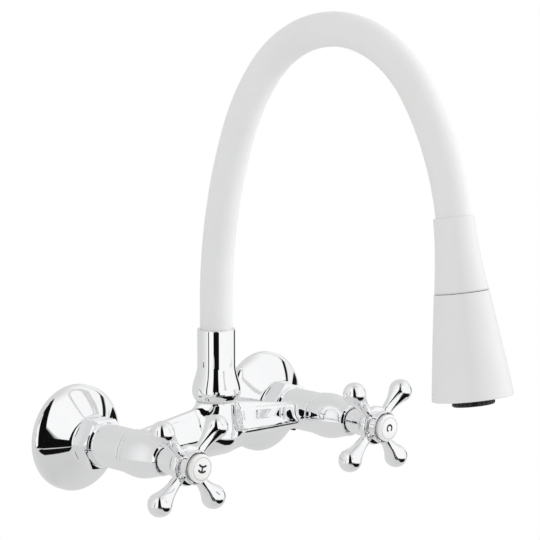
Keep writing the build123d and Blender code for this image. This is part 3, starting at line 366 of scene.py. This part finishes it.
def make_union_nut(side, x):
    """A hexagon whose front corners are turned down to a cone, with a plain round collar in front of it."""
    back, front = 18.0, 28.4
    shape = bmesh.new()
    bmesh.ops.create_circle(shape, cap_ends=True, segments=6, radius=NUT_FLATS / sqrt(3))
    bmesh.ops.rotate(shape, verts=shape.verts, matrix=Matrix.Rotation(radians(NUT_TURNS[side]), 3, "Z"))
    bmesh.ops.translate(shape, verts=shape.verts, vec=(0, 0, back))
    prism = bmesh.ops.extrude_face_region(shape, geom=shape.faces[:])
    top = [v for v in prism["geom"] if isinstance(v, bmesh.types.BMVert)]
    bmesh.ops.translate(shape, verts=top, vec=(0, 0, front - back))
    corners = [e for e in shape.edges if abs(e.verts[0].co.z - e.verts[1].co.z) > (front - back) / 2]
    bmesh.ops.bevel(shape, geom=corners, offset=0.5, segments=3, profile=0.5, affect="EDGES", material=-1)
    hexagon = finish_piece(f"{side}_nut_hexagon", shape, on_valve(x), chrome)
    outline = [(0, back), (15.6, back), (16.7, 19.1), (16.7, 27.3), (13.7, front), (0, front)]
    cone = turned_piece("nut_cone", outline, on_valve(x), chrome, sides=144)
    cut = hexagon.modifiers.new("turned_corners", "BOOLEAN")
    cut.operation = "INTERSECT"
    cut.solver = "EXACT"
    cut.object = cone
    apply_modifiers(hexagon)
    bpy.data.objects.remove(cone)
    round_edges(hexagon, 0.25, segments=2, angle=14)
    settle(hexagon, "root", "chrome_plate", f"{side}_union_nut")
    collar = turned_piece(f"{side}_nut_collar", [(9.6, 27.9), (13.3, 27.9), (13.3, 29.2), (12.1, 30.4), (9.6, 30.4)],
                          on_valve(x), chrome, bevel=0.15)
    settle(collar, "root", "chrome_plate")


# ---------------------------------------------------------------------------------------------
# Bridge body: one polished casting
# ---------------------------------------------------------------------------------------------

ARM_ROOT_X, ARM_TIP_X = 9.0, 67.0


def loft_arms(name, tip, root):
    """Lofts both arms in one closed solid between a section at their tips and one at their roots. A section is
    (middle, outline of its front half), and the outline is mirrored to the back about the middle."""
    shape = bmesh.new()
    loops = []
    places = ((-ARM_TIP_X, tip), (-ARM_ROOT_X, root), (ARM_ROOT_X, root), (ARM_TIP_X, tip))
    for x, (middle, outline) in places:
        front = [(p.x, p.z) for p in outline_points(outline, steps=20)]
        back = [(2 * middle - out, height) for out, height in reversed(front)]
        ring = [shape.verts.new((x, -out, height)) for out, height in front + back]
        loops.append([shape.edges.new(pair) for pair in pairwise(ring + ring[:1])])
    for here, there in pairwise(loops):
        bmesh.ops.bridge_loops(shape, edges=here + there)
    bmesh.ops.holes_fill(shape, edges=loops[0] + loops[-1], sides=0)
    return finish_piece(name, shape, Matrix.Scale(MM, 4), chrome)


def make_web():
    """The upper part of both arms: upright panels and shoulders that slope to a ridge."""
    tip = (39.5, [(46.4, -6.0), (43.4, 5.0), (40.7, 6.2)])
    root = (40.3, [(47.8, -4.0), (43.9, 10.6), (41.3, 15.2)])
    return loft_arms("web", tip, root)


def make_boat():
    """The lower part of both arms: a boat-shaped waterway that bulges a little in front of the panels."""
    tip = (39.5, [(45.0, -2.0), (46.9, -3.2), (47.1, -4.0, (0, -1)), (46.5, -5.6, (-0.47, -0.88)), (41.8, -9.4)])
    root = (40.3, [(46.4, 1.6), (48.5, -1.0), (48.7, -2.4, (0, -1)), (47.7, -5.2, (-0.47, -0.88)), (42.6, -15.0)])
    return loft_arms("boat", tip, root)


def drawn_in(solid, depth, turned=None):
    """A reader of the gap and direction from a solid's surface. The solid is drawn in by a depth first, so that
    its edges read as rounded, and a turned solid is read in the one plane of its outline."""
    place = turned @ Matrix.Scale(1 / MM, 4) if turned else Matrix.Identity(4)
    to_local, to_world = place.inverted(), place.to_3x3()
    shape = bmesh.new()
    shape.from_mesh(solid.data)
    shape.transform(to_local)
    shape.normal_update()
    moves = [(v, -v.normal * v.calc_shell_factor() * depth) for v in shape.verts]
    for vert, move in moves:
        vert.co += move
    bmesh.ops.triangulate(shape, faces=shape.faces)
    tree = BVHTree.FromBMesh(shape)
    shape.free()

    def read(spot):
        if not turned:
            point, _, _, gap = tree.find_nearest(spot)
            return gap - depth, (spot - point).normalized()
        local = to_local @ spot
        reach = sqrt(local.x ** 2 + local.y ** 2)
        flat = Vector((reach, 0, local.z))
        point, _, _, gap = tree.find_nearest(flat)
        away = (flat - point).normalized()
        return gap - depth, to_world @ Vector((away.x * local.x / reach, away.x * local.y / reach, away.z))

    return read


def blend_gaps(first, second, width):
    """Joins two (gap, direction) readings into one, with a soft hollow where both surfaces are near."""
    if second[0] < first[0]:
        first, second = second, first
    share = max(0.0, 1 - (second[0] - first[0]) / width)
    gap = first[0] - share * share * width / 4
    return gap, (first[1] * (1 - share / 2) + second[1] * share / 2).normalized()


def lay_on_blend(casting, parts, widths, limits, rounds=12, close_enough=0.002 * MM, smoothing=9):
    """Moves every vertex onto the surface that blends the parts, given as readers, in their order, cuts
    it off at the limits, given as (axis, side, place), and shades it by the surface's own directions."""
    shape = bmesh.new()
    shape.from_mesh(casting.data)
    directions = []
    for vert in shape.verts:
        spot = vert.co.copy()
        for _ in range(rounds):
            whole = parts[0](spot)
            for part, width in zip(parts[1:], widths):
                whole = blend_gaps(whole, part(spot), width * MM)
            if abs(whole[0]) < close_enough:
                break
            spot -= whole[1] * whole[0]
        direction = whole[1]
        for axis, side, place in limits:
            if (spot[axis] - place) * side > 0:
                spot[axis] = place
                direction = Vector([side if i == axis else 0 for i in range(3)])
        vert.co = spot
        directions.append(direction)
    shape.verts.ensure_lookup_table()
    near = [[edge.other_vert(vert).index for edge in vert.link_edges] for vert in shape.verts]
    for _ in range(smoothing):
        directions = [sum((directions[i] for i in others), direction * 2).normalized()
                      for direction, others in zip(directions, near)]
    shape.to_mesh(casting.data)
    shape.free()
    casting.data.shade_smooth()
    casting.data.normals_split_custom_set_from_vertices(directions)


def join_casting(name, solids, voxel):
    """One closed skin over several solids that pass through each other."""
    shape = bmesh.new()
    for solid in solids:
        shape.from_mesh(solid.data)
    mesh = bpy.data.meshes.new(name)
    shape.to_mesh(mesh)
    shape.free()
    casting = bpy.data.objects.new(name, mesh)
    bpy.context.scene.collection.objects.link(casting)
    remesh = casting.modifiers.new("one_casting", "REMESH")
    remesh.mode = "VOXEL"
    remesh.voxel_size = voxel * MM
    apply_modifiers(casting)
    casting.data.materials.clear()
    casting.data.materials.append(chrome)
    casting.data.shade_smooth()
    return casting


def make_bridge_body():
    """Hub, arms and barrels as one polished casting, with the hollows between them that the foundry leaves."""
    arm_rounding, hub_rounding, barrel_rounding = 0.9 * MM, 0.5 * MM, 0.3 * MM
    web_hollow, hub_hollow, barrel_hollow = 1.6, 8.5, 3.2
    hub_top, barrel_back, barrel_front = 17.4, 30.7, 53.6
    boat, web = make_boat(), make_web()
    outline = [(0, -12.6), (5.3, -12.6, (1, 0)), (12.3, -4.4, (0, 1)), (12.3, 4.0), (11.9, hub_top), (0, hub_top)]
    hub = turned_piece("hub", outline, on_spout(), chrome, steps=60, closed=False)
    stub = [(0, barrel_back), (12.5, barrel_back), (12.5, barrel_front), (0, barrel_front)]
    barrels = [turned_piece("barrel", stub, on_valve(x), chrome, closed=False) for x in VALVES.values()]
    solids = [boat, web, hub, *barrels]
    casting = join_casting("bridge_casting", solids, voxel=0.45)
    parts = [drawn_in(boat, arm_rounding), drawn_in(web, arm_rounding), drawn_in(hub, hub_rounding, on_spout())]
    parts += [drawn_in(barrel, barrel_rounding, on_valve(x)) for barrel, x in zip(barrels, VALVES.values())]
    lay_on_blend(casting, parts, widths=(web_hollow, hub_hollow, barrel_hollow, barrel_hollow),
                 limits=((2, 1, hub_top * MM), (1, 1, -barrel_back * MM)))
    for solid in solids:
        bpy.data.objects.remove(solid)
    settle(casting, "root", "chrome_plate", "bridge_body")
    for side, x in VALVES.items():
        mouth = [(9.4, 52.8), (12.0, 52.8), (12.0, 54.4), (13.1, 54.4), (13.1, 57.0), (9.4, 57.0)]
        settle(turned_piece(f"{side}_barrel_bead", mouth, on_valve(x), chrome, bevel=0.35), "root", "chrome_plate")


# ---------------------------------------------------------------------------------------------
# Headwork: bonnet and neck
# ---------------------------------------------------------------------------------------------

def make_bonnet(side, x):
    """A bell-shaped cover over the headwork, open at its mouth."""
    outline = [
        (12.0, 57.15), (13.2, 57.15, (0.25, 1)), (13.65, 62.5, (-0.02, 1)), (10.6, 76.0, (-0.3, 1)),
        (9.6, 80.6, (-0.15, 1)), (8.5, 82.0), (8.1, 82.0), (8.1, 80.4), (7.5, 80.4), (7.5, 67.65), (12.0, 63.65),
    ]
    bonnet = turned_piece(f"{side}_bonnet_bell", outline, on_valve(x), chrome, bevel=0.25)
    settle(bonnet, "root", "chrome_plate", f"{side}_bonnet")


def make_headwork(side, x):
    """The plain neck that shows between the bonnet and the handle."""
    neck = [(4.05, 41.2), (9.2, 41.2), (9.2, 62.2), (7.4, 62.2), (7.4, 88.0), (4.05, 88.0)]
    piece = turned_piece(f"{side}_headwork_neck", neck, on_valve(x), chrome, bevel=0.3)
    settle(piece, "root", "brass", f"{side}_headwork_body")


# ---------------------------------------------------------------------------------------------
# Cross handles, cap rings and index buttons
# ---------------------------------------------------------------------------------------------

def make_club(angle):
    """One arm of the cross: slim neck, long swell and round end, turned round its own axis."""
    neck, ball, start, centre = 3.3, 7.0, 12.0, 28.3
    rise, run = ball - neck, centre - start
    sweep = (run ** 2 / rise - (ball + neck)) / 2
    scale = ball / (sweep + ball)
    touch = (centre - run * scale, (sweep + neck) * scale)
    lean = Vector((touch[1], centre - touch[0])).normalized()
    outline = [(0, 5.0), (neck, 5.0), (neck, start, (0, 1)), (touch[1], touch[0], (lean.y, lean.x)),
               (ball, centre, (0, 1)), (0, centre + ball, (-1, 0))]
    shape = bmesh.new()
    turn_outline(shape, outline, sides=64, steps=16, closed=False)
    bmesh.ops.remove_doubles(shape, verts=shape.verts, dist=0.0005)
    lay_flat = Matrix.Rotation(pi / 2, 4, "Y")
    shape.transform(Matrix.Translation((0, 0, ARMS_OUT)) @ Matrix.Rotation(angle, 4, "Z") @ lay_flat)
    return shape


def make_cross_handle(side, x):
    """A waisted hub that carries four clubs, and in front a groove and a step for the cap ring."""
    hub = [
        (0, 90.3), (6.3, 90.3), (6.3, 88.4), (7.9, 88.4, (0, 1)), (8.3, 93.5, (0.14, 1)), (11.2, 98.2, (0.75, 1)),
        (11.7, 100.5, (0, 1)), (10.9, 102.3, (-0.9, 0.9)), (8.6, 102.8), (8.0, 102.8), (8.0, 104.3), (9.2, 104.3),
        (9.2, 105.9), (5.2, 105.9), (5.2, 104.2), (0, 104.2),
    ]
    core = turned_piece(f"{side}_handle_hub", hub, on_valve(x), chrome, bevel=0.3, closed=False)
    settle(core, f"{side}_handle", "chrome_plate", f"{side}_cross_handle")
    for index in range(4):
        shape = make_club(radians(HANDLE_TURNS[side] + 90 * index))
        club = finish_piece(f"{side}_handle_club_{index + 1}", shape, on_valve(x), chrome)
        settle(club, f"{side}_handle", "chrome_plate")


def make_cap_ring(side, x):
    """A pressed cup with a rolled rim, which holds the index button."""
    outline = [
        (3.95, 105.4), (5.1, 105.4), (5.1, 105.9), (9.35, 105.9, (1, 0)), (9.85, 106.4, (0, 1)),
        (9.85, 108.2, (0, 1)), (9.3, 108.8, (-1, 0.1)), (8.9, 108.7), (8.9, 107.3), (3.95, 107.3),
    ]
    ring = turned_piece(f"{side}_cap_rim", outline, on_valve(x), chrome, steps=8)
    settle(ring, f"{side}_handle", "chrome_plate", f"{side}_cap_ring")


def make_index_button(side, x):
    """A porcelain button with a soft edge and a fired grey ring on its face."""
    body = f"{side}_handle"
    outline = [
        (0, 106.7), (3.0, 106.7), (3.0, 107.4), (8.1, 107.4), (8.1, 110.8, (0, 1)), (7.4, 111.8, (-0.8, 0.6)),
        (6.6, 112.15, (-1, 0.1)), (6.4, BUTTON_FACE_OUT), (0, BUTTON_FACE_OUT),
    ]
    button = turned_piece(f"{side}_button_disc", outline, on_valve(x), porcelain, steps=8, closed=False)
    settle(button, body, "white_porcelain", f"{side}_index_button")
    outline = [(6.3, 112.15), (6.55, 112.15), (6.55, 112.23), (6.3, 112.23)]
    line = turned_piece(f"{side}_button_line", outline, on_valve(x), grey_line)
    settle(line, body, "white_porcelain")


def make_letter(side, x, strokes, pen=0.6, flatness=0.16):
    """A letter of enamel on the button's face: round strokes through (across, height) points, pressed flat."""
    shape = bmesh.new()
    for points in strokes:
        path = bpy.data.curves.new("stroke", "CURVE")
        path.dimensions = "3D"
        path.bevel_depth = pen
        path.bevel_resolution = 4
        spline = path.splines.new("POLY")
        spline.points.add(len(points) - 1)
        for knot, (across, height) in zip(spline.points, points):
            knot.co = (across, height, 0, 1)
        carrier = bpy.data.objects.new("stroke", path)
        bpy.context.scene.collection.objects.link(carrier)
        bpy.context.view_layer.update()
        mesh = bpy.data.meshes.new_from_object(carrier)
        bpy.data.objects.remove(carrier)
        shape.from_mesh(mesh)
        for across, height in (points[0], points[-1]):
            bmesh.ops.create_uvsphere(shape, u_segments=16, v_segments=10, radius=pen,
                                      matrix=Matrix.Translation((across, height, 0)))
    bmesh.ops.scale(shape, verts=shape.verts, vec=(1, 1, flatness))
    bmesh.ops.translate(shape, verts=shape.verts, vec=(0, 0, BUTTON_FACE_OUT))
    mark = finish_piece(f"{side}_button_letter", shape, on_valve(x), ink)
    settle(mark, f"{side}_handle", "black_plastic")


def letter_h():
    """Two bars lying on their sides, bent a little the same way, and a short bar between their middles."""
    turn, spacing, reach, sag, raised = radians(-14.6), 1.55, 2.4, 0.8, 0.4
    steps = (-1, -0.6, -0.2, 0.2, 0.6, 1)
    strokes = [[(reach * t, offset - sag + sag * t * t) for t in steps] for offset in (-spacing, spacing)]
    strokes.append([(0, -spacing - sag), (0, spacing - sag)])
    return [[(a * cos(turn) - h * sin(turn), a * sin(turn) + h * cos(turn) + raised) for a, h in stroke]
            for stroke in strokes]


def letter_c():
    """A ring that is open downwards."""
    radius = 1.95
    return [[(radius * cos(radians(angle)), radius * sin(radians(angle))) for angle in range(-44, 236, 8)]]


# ---------------------------------------------------------------------------------------------
# Spout: chrome collar and bendable silicone neck
# ---------------------------------------------------------------------------------------------

def make_spout_collar():
    """A socket with a bell foot, stepped inside for the sleeve, the core and the hose."""
    outline = [
        (8.95, 18.1), (12.4, 18.1, (1, 0.25)), (14.0, 20.4, (0.45, 1)), (14.5, 23.2, (0, 1)), (11.35, 39.0, (0, 1)),
        (11.35, 60.0, (0, 1)), (10.85, 60.5, (-1, 0)), (9.8, 60.5), (9.8, 52.0), (7.25, 52.0), (7.25, 44.0),
        (4.95, 44.0), (4.95, 34.0), (4.0, 34.0), (4.0, 2.4), (8.95, 2.4),
    ]
    collar = turned_piece("spout_collar_bell", outline, on_spout(), chrome, steps=24)
    settle(collar, "spout", "chrome_plate", "spout_collar")


def ring_edges(verts):
    """The edges that join the given verts to one another."""
    ring = set(verts)
    return [e for e in {e for v in ring for e in v.link_edges} if ring.issuperset(e.verts)]


def push_on(shape, edges, heading, distance, pieces):
    """Extrudes a tube's open end straight on, and gives its new end."""
    for _ in range(pieces):
        grown = bmesh.ops.extrude_edge_only(shape, edges=edges)
        verts = [v for v in grown["geom"] if isinstance(v, bmesh.types.BMVert)]
        bmesh.ops.translate(shape, verts=verts, vec=heading * distance / pieces)
        edges = ring_edges(verts)
    return edges


def make_neck_tube(name, radius, start, past_end, material, node):
    """A tube along the neck's route, from a height in the collar to a little past the neck's end in the head."""
    arc_step = 4.5
    shape = bmesh.new()
    verts = bmesh.ops.create_circle(shape, segments=72, radius=radius)["verts"]
    bmesh.ops.translate(shape, verts=verts, vec=(0, -SPOUT_OUT, start))
    end = push_on(shape, ring_edges(verts), Vector((0, 0, 1)), RISER_TOP - start, 1)
    arcs, _, down = neck_route()
    for centre, bend, angle in arcs:
        verts = list({v for e in end for v in e.verts})
        arc = bmesh.ops.spin(shape, geom=end + verts, cent=centre, axis=(1, 0, 0), angle=angle,
                             steps=max(4, round(angle * bend / arc_step)))
        end = ring_edges([v for v in arc["geom_last"] if isinstance(v, bmesh.types.BMVert)])
    push_on(shape, end, down, NECK_END + past_end, 2)
    bmesh.ops.holes_fill(shape, edges=[e for e in shape.edges if e.is_boundary], sides=0)
    tube = finish_piece(name, shape, Matrix.Scale(MM, 4), material, bevel=0.2)
    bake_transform(tube)
    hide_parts(node)
    return tube


# ---------------------------------------------------------------------------------------------
# Spray head
# ---------------------------------------------------------------------------------------------

def make_spray_head():
    """Two thin moulded cones that meet at a fine seam. The lower one turns."""
    upper = [
        (9.9, 0), (10.4, 0, (1, 0)), (11.0, 0.6, (0.02, 1)), (12.1, 20.0, (0.1, 1)), (14.55, 39.8, (0.13, 1)),
        (12.65, 39.8), (12.4, 33.0), (8.7, 33.0), (8.7, 9.4), (9.9, 9.4),
    ]
    settle(turned_piece("head_upper_cone", upper, on_head(), abs_white, steps=16), "spray_head", "white_abs",
           "head_upper_shell")
    lower = [
        (13.0, 40.1), (14.9, 40.1, (0.125, 1)), (18.55, 68.0, (0.127, 1)), (22.0, 95.9, (0.12, 1)),
        (21.4, 96.5, (-1, 0)), (20.1, 96.5), (16.65, 68.0), (13.9, 47.6), (6.65, 47.6), (6.65, 45.0), (13.5, 45.0),
    ]
    settle(turned_piece("head_lower_cone", lower, on_head(), abs_white, steps=16, bevel=0.15), "mode_cone",
           "white_abs", "head_lower_shell")


# ---------------------------------------------------------------------------------------------
# Studio
# ---------------------------------------------------------------------------------------------

def make_floor():
    """A pale disc well below the faucet, which takes its shadow. The metal doesn't mirror it."""
    radius, below = 0.7, 0.36
    shape = bmesh.new()
    bmesh.ops.create_circle(shape, cap_ends=True, segments=96, radius=radius)
    bmesh.ops.translate(shape, verts=shape.verts, vec=(0, -0.12, -below))
    mesh = bpy.data.meshes.new("studio_floor")
    shape.to_mesh(mesh)
    shape.free()
    finish, tree, shader, place = new_finish("pale_studio_floor", {"Roughness": 0.8, "IOR": 1.45})
    noise = add_node(tree, "ShaderNodeTexNoise", inputs={"Scale": 6.0, "Detail": 2.0},
                     links=[("Vector", place, "Object")])
    tint = add_node(tree, "ShaderNodeValToRGB", links=[("Fac", noise, "Fac")])
    set_ramp(tint, [(0.3, colour("#EDEDED")), (0.7, colour("#F0F0F0"))])
    tree.links.new(tint.outputs["Color"], shader.inputs["Base Color"])
    mesh.materials.append(finish)
    floor = bpy.data.objects.new("studio_floor", mesh)
    floor.visible_glossy = False
    bpy.context.scene.collection.objects.link(floor)


def grey(level):
    """An sRGB grey, 0 to 255, as a linear RGBA."""
    level = max(0, min(255, round(level)))
    return colour(f"#{level:02X}{level:02X}{level:02X}")


# The sockets of a Mix node that mixes colours
MIX_SHARE, MIX_UNDER, MIX_OVER, MIX_RESULT = 0, 6, 7, 2


def make_studio_light():
    """A soft white room, and for the metal to mirror: white walls, a grey wall behind the fittings, a black
    screen where the photographer stood, two dark stands, and a grey floor with a painted shadow that turns it
    black on the photographer's side. Bearings count from the photographer's place, to the right, and heights from
    the horizon, in degrees."""
    horizon_of_floor = -16.7
    world = bpy.data.worlds.new("studio")
    bpy.context.scene.world = world
    world.use_nodes = True
    tree = world.node_tree
    tree.nodes.clear()
    output = add_node(tree, "ShaderNodeOutputWorld")
    place = add_node(tree, "ShaderNodeTexCoord")
    turned = add_node(tree, "ShaderNodeMapping", inputs={"Rotation": (0, 0, radians(-CAMERA_TURN))},
                      links=[("Vector", place, "Generated")])
    parts = add_node(tree, "ShaderNodeSeparateXYZ", links=[("Vector", turned, "Vector")])
    toward = add_node(tree, "ShaderNodeMath", {"operation": "MULTIPLY"}, {1: -1.0}, [(0, parts, "Y")])
    around = add_node(tree, "ShaderNodeMath", {"operation": "ARCTAN2"}, links=[(0, parts, "X"), (1, toward, 0)])
    above = add_node(tree, "ShaderNodeMath", {"operation": "ARCSINE"}, links=[(0, parts, "Z")])
    bearing = add_node(tree, "ShaderNodeMapRange", inputs={"From Min": -pi, "From Max": pi},
                       links=[(0, around, 0)])
    height = add_node(tree, "ShaderNodeMapRange", inputs={"From Min": -pi / 2, "From Max": pi / 2},
                      links=[(0, above, 0)])

    def over_bearing(stops):
        ramp = add_node(tree, "ShaderNodeValToRGB", links=[(0, bearing, 0)])
        set_ramp(ramp, [(degrees / 360 + 0.5, grey(level)) for degrees, level in stops])
        return ramp

    def over_height(stops):
        ramp = add_node(tree, "ShaderNodeValToRGB", links=[(0, height, 0)])
        set_ramp(ramp, [(degrees / 180 + 0.5, grey(level)) for degrees, level in stops])
        return ramp

    def mixed(under, over, share=None, blend="MIX"):
        links = [(MIX_SHARE, share, 0)] if share else []
        links += [(socket, layer, MIX_RESULT if layer.type == "MIX" else 0)
                  for socket, layer in ((MIX_UNDER, under), (MIX_OVER, over))]
        return add_node(tree, "ShaderNodeMix", {"data_type": "RGBA", "blend_type": blend}, {MIX_SHARE: 1.0}, links)

    def edge(rows, soft):
        """How far the bearing is past an edge whose bearing changes with height, as a share from 0 to 1."""
        line = add_node(tree, "ShaderNodeValToRGB", links=[(0, height, 0)])
        set_ramp(line, [(up / 180 + 0.5, [at / 360 + 0.5] * 3 + [1.0]) for up, at in rows])
        gap = add_node(tree, "ShaderNodeMath", {"operation": "SUBTRACT"}, links=[(0, bearing, 0), (1, line, 0)])
        return add_node(tree, "ShaderNodeMapRange", inputs={"From Min": -soft / 360, "From Max": soft / 360},
                        links=[(0, gap, 0)])

    def card(under, rows, level, soft=0.8):
        """Stands a flat card in the room, or lays a painted shadow on its floor: rows of (height, left bearing, right
        bearing).
        """
        left = edge([(up, a) for up, a, _ in rows], soft)
        right = edge([(up, b) for up, _, b in rows], soft)
        inside = add_node(tree, "ShaderNodeMath", {"operation": "SUBTRACT", "use_clamp": True},
                          links=[(0, left, 0), (1, right, 0)])
        paint = over_bearing([(-180, level), (180, level)])
        return mixed(under, paint, inside)

    walls = over_bearing([
        (-180, 220), (-110, 217), (-90, 220), (-74, 228), (-62, 236), (-54, 251), (-30, 254), (60, 254), (125, 252),
        (148, 240), (158, 226), (180, 220),
    ])
    roof = over_height([(48, 255), (64, 236), (74, 220), (90, 208)])
    left_stand = [(-16, -46, -46), (-13, -49, -43), (25, -49, -43), (30, -46, -46)]
    right_stand = [
        (-16, 132, 150), (-6, 132, 154), (0, 131, 150), (3, 130, 136), (10, 128, 134), (20, 129, 133), (26, 131, 132),
    ]
    screen = [
        (-16, -24, 44), (-12.5, -17, 42), (-11.6, -16, 17.5), (-2.5, -15.5, 17.5), (-1, -15.5, 12.5), (58, -16, 12),
        (66, -14, 14),
    ]
    room = mixed(walls, roof, blend="DARKEN")
    room = card(room, left_stand, 26)
    room = card(room, right_stand, 22)
    room = card(room, screen, 14)
    ground = over_bearing([
        (-180, 218), (-75, 216), (-50, 215), (-10, 211), (30, 206), (60, 209), (100, 212), (180, 218),
    ])
    # A painted shadow on the mirrored floor: near black over these heights and bearings, on the photographer's side.
    painted_floor_shadow = [
        (-52, 72, 72), (-48, 50, 96), (-42, 40, 112), (-36, 32, 118), (-30, 24, 120), (-27, 10, 120), (-24.5, -4, 114),
        (-22.5, -10, 106), (-20.5, -14, 60), (-19, -10, 40), (-18, 0, 0),
    ]
    ground = card(ground, painted_floor_shadow, 18, soft=2.0)
    below = add_node(tree, "ShaderNodeMapRange", links=[(0, above, 0)], inputs={
        "From Min": radians(horizon_of_floor - 0.3), "From Max": radians(horizon_of_floor + 0.3),
        "To Min": 1.0, "To Max": 0.0})
    room = mixed(room, ground, below)
    seen = add_node(tree, "ShaderNodeBackground", inputs={"Strength": 1.0}, links=[("Color", room, MIX_RESULT)])
    soft = add_node(tree, "ShaderNodeBackground", inputs={"Color": colour("#FFFFFF"), "Strength": 0.78})
    white = add_node(tree, "ShaderNodeBackground", inputs={"Color": colour("#FFFFFF"), "Strength": 1.0})
    ray = add_node(tree, "ShaderNodeLightPath")
    light = soft
    for kind, layer in (("Is Glossy Ray", seen), ("Is Transmission Ray", white), ("Is Camera Ray", white)):
        light = add_node(tree, "ShaderNodeMixShader", links=[(0, ray, kind), (1, light, 0), (2, layer, 0)])
    tree.links.new(light.outputs[0], output.inputs["Surface"])

    lamp = bpy.data.lights.new("soft_key", "AREA")
    lamp.shape = "RECTANGLE"
    lamp.size, lamp.size_y = 0.9, 0.9
    lamp.energy = 5.2
    key = bpy.data.objects.new("soft_key", lamp)
    key.location = (0.95, -0.75, 0.55)
    aim = Vector((0, -0.12, 0.1)) - key.location
    key.rotation_euler = aim.to_track_quat("-Z", "Y").to_euler()
    key.visible_glossy = False
    bpy.context.scene.collection.objects.link(key)


# ---------------------------------------------------------------------------------------------
# Making everything
# ---------------------------------------------------------------------------------------------

for side, x in VALVES.items():
    make_wall_flange(side, x)
    make_union_nut(side, x)
    make_bonnet(side, x)
    make_headwork(side, x)
    make_cap_ring(side, x)
for side, x in VALVES.items():
    make_cross_handle(side, x)
for (side, x), letter in zip(VALVES.items(), (letter_h(), letter_c())):
    make_index_button(side, x)
    make_letter(side, x, letter)
make_bridge_body()
make_spout_collar()
make_neck_tube("spout_silicone_sleeve", 9.65, 52.0, 0.0, silicone, "silicone_sleeve")
make_neck_tube("spout_coiled_core", 7.1, 44.0, 7.0, steel, "gooseneck_core")
make_neck_tube("spout_water_hose", 4.8, 34.0, 15.0, polythene, "inner_hose")
make_spray_head()
make_floor()
make_studio_light()

bpy.context.scene.view_settings.view_transform = "Standard"
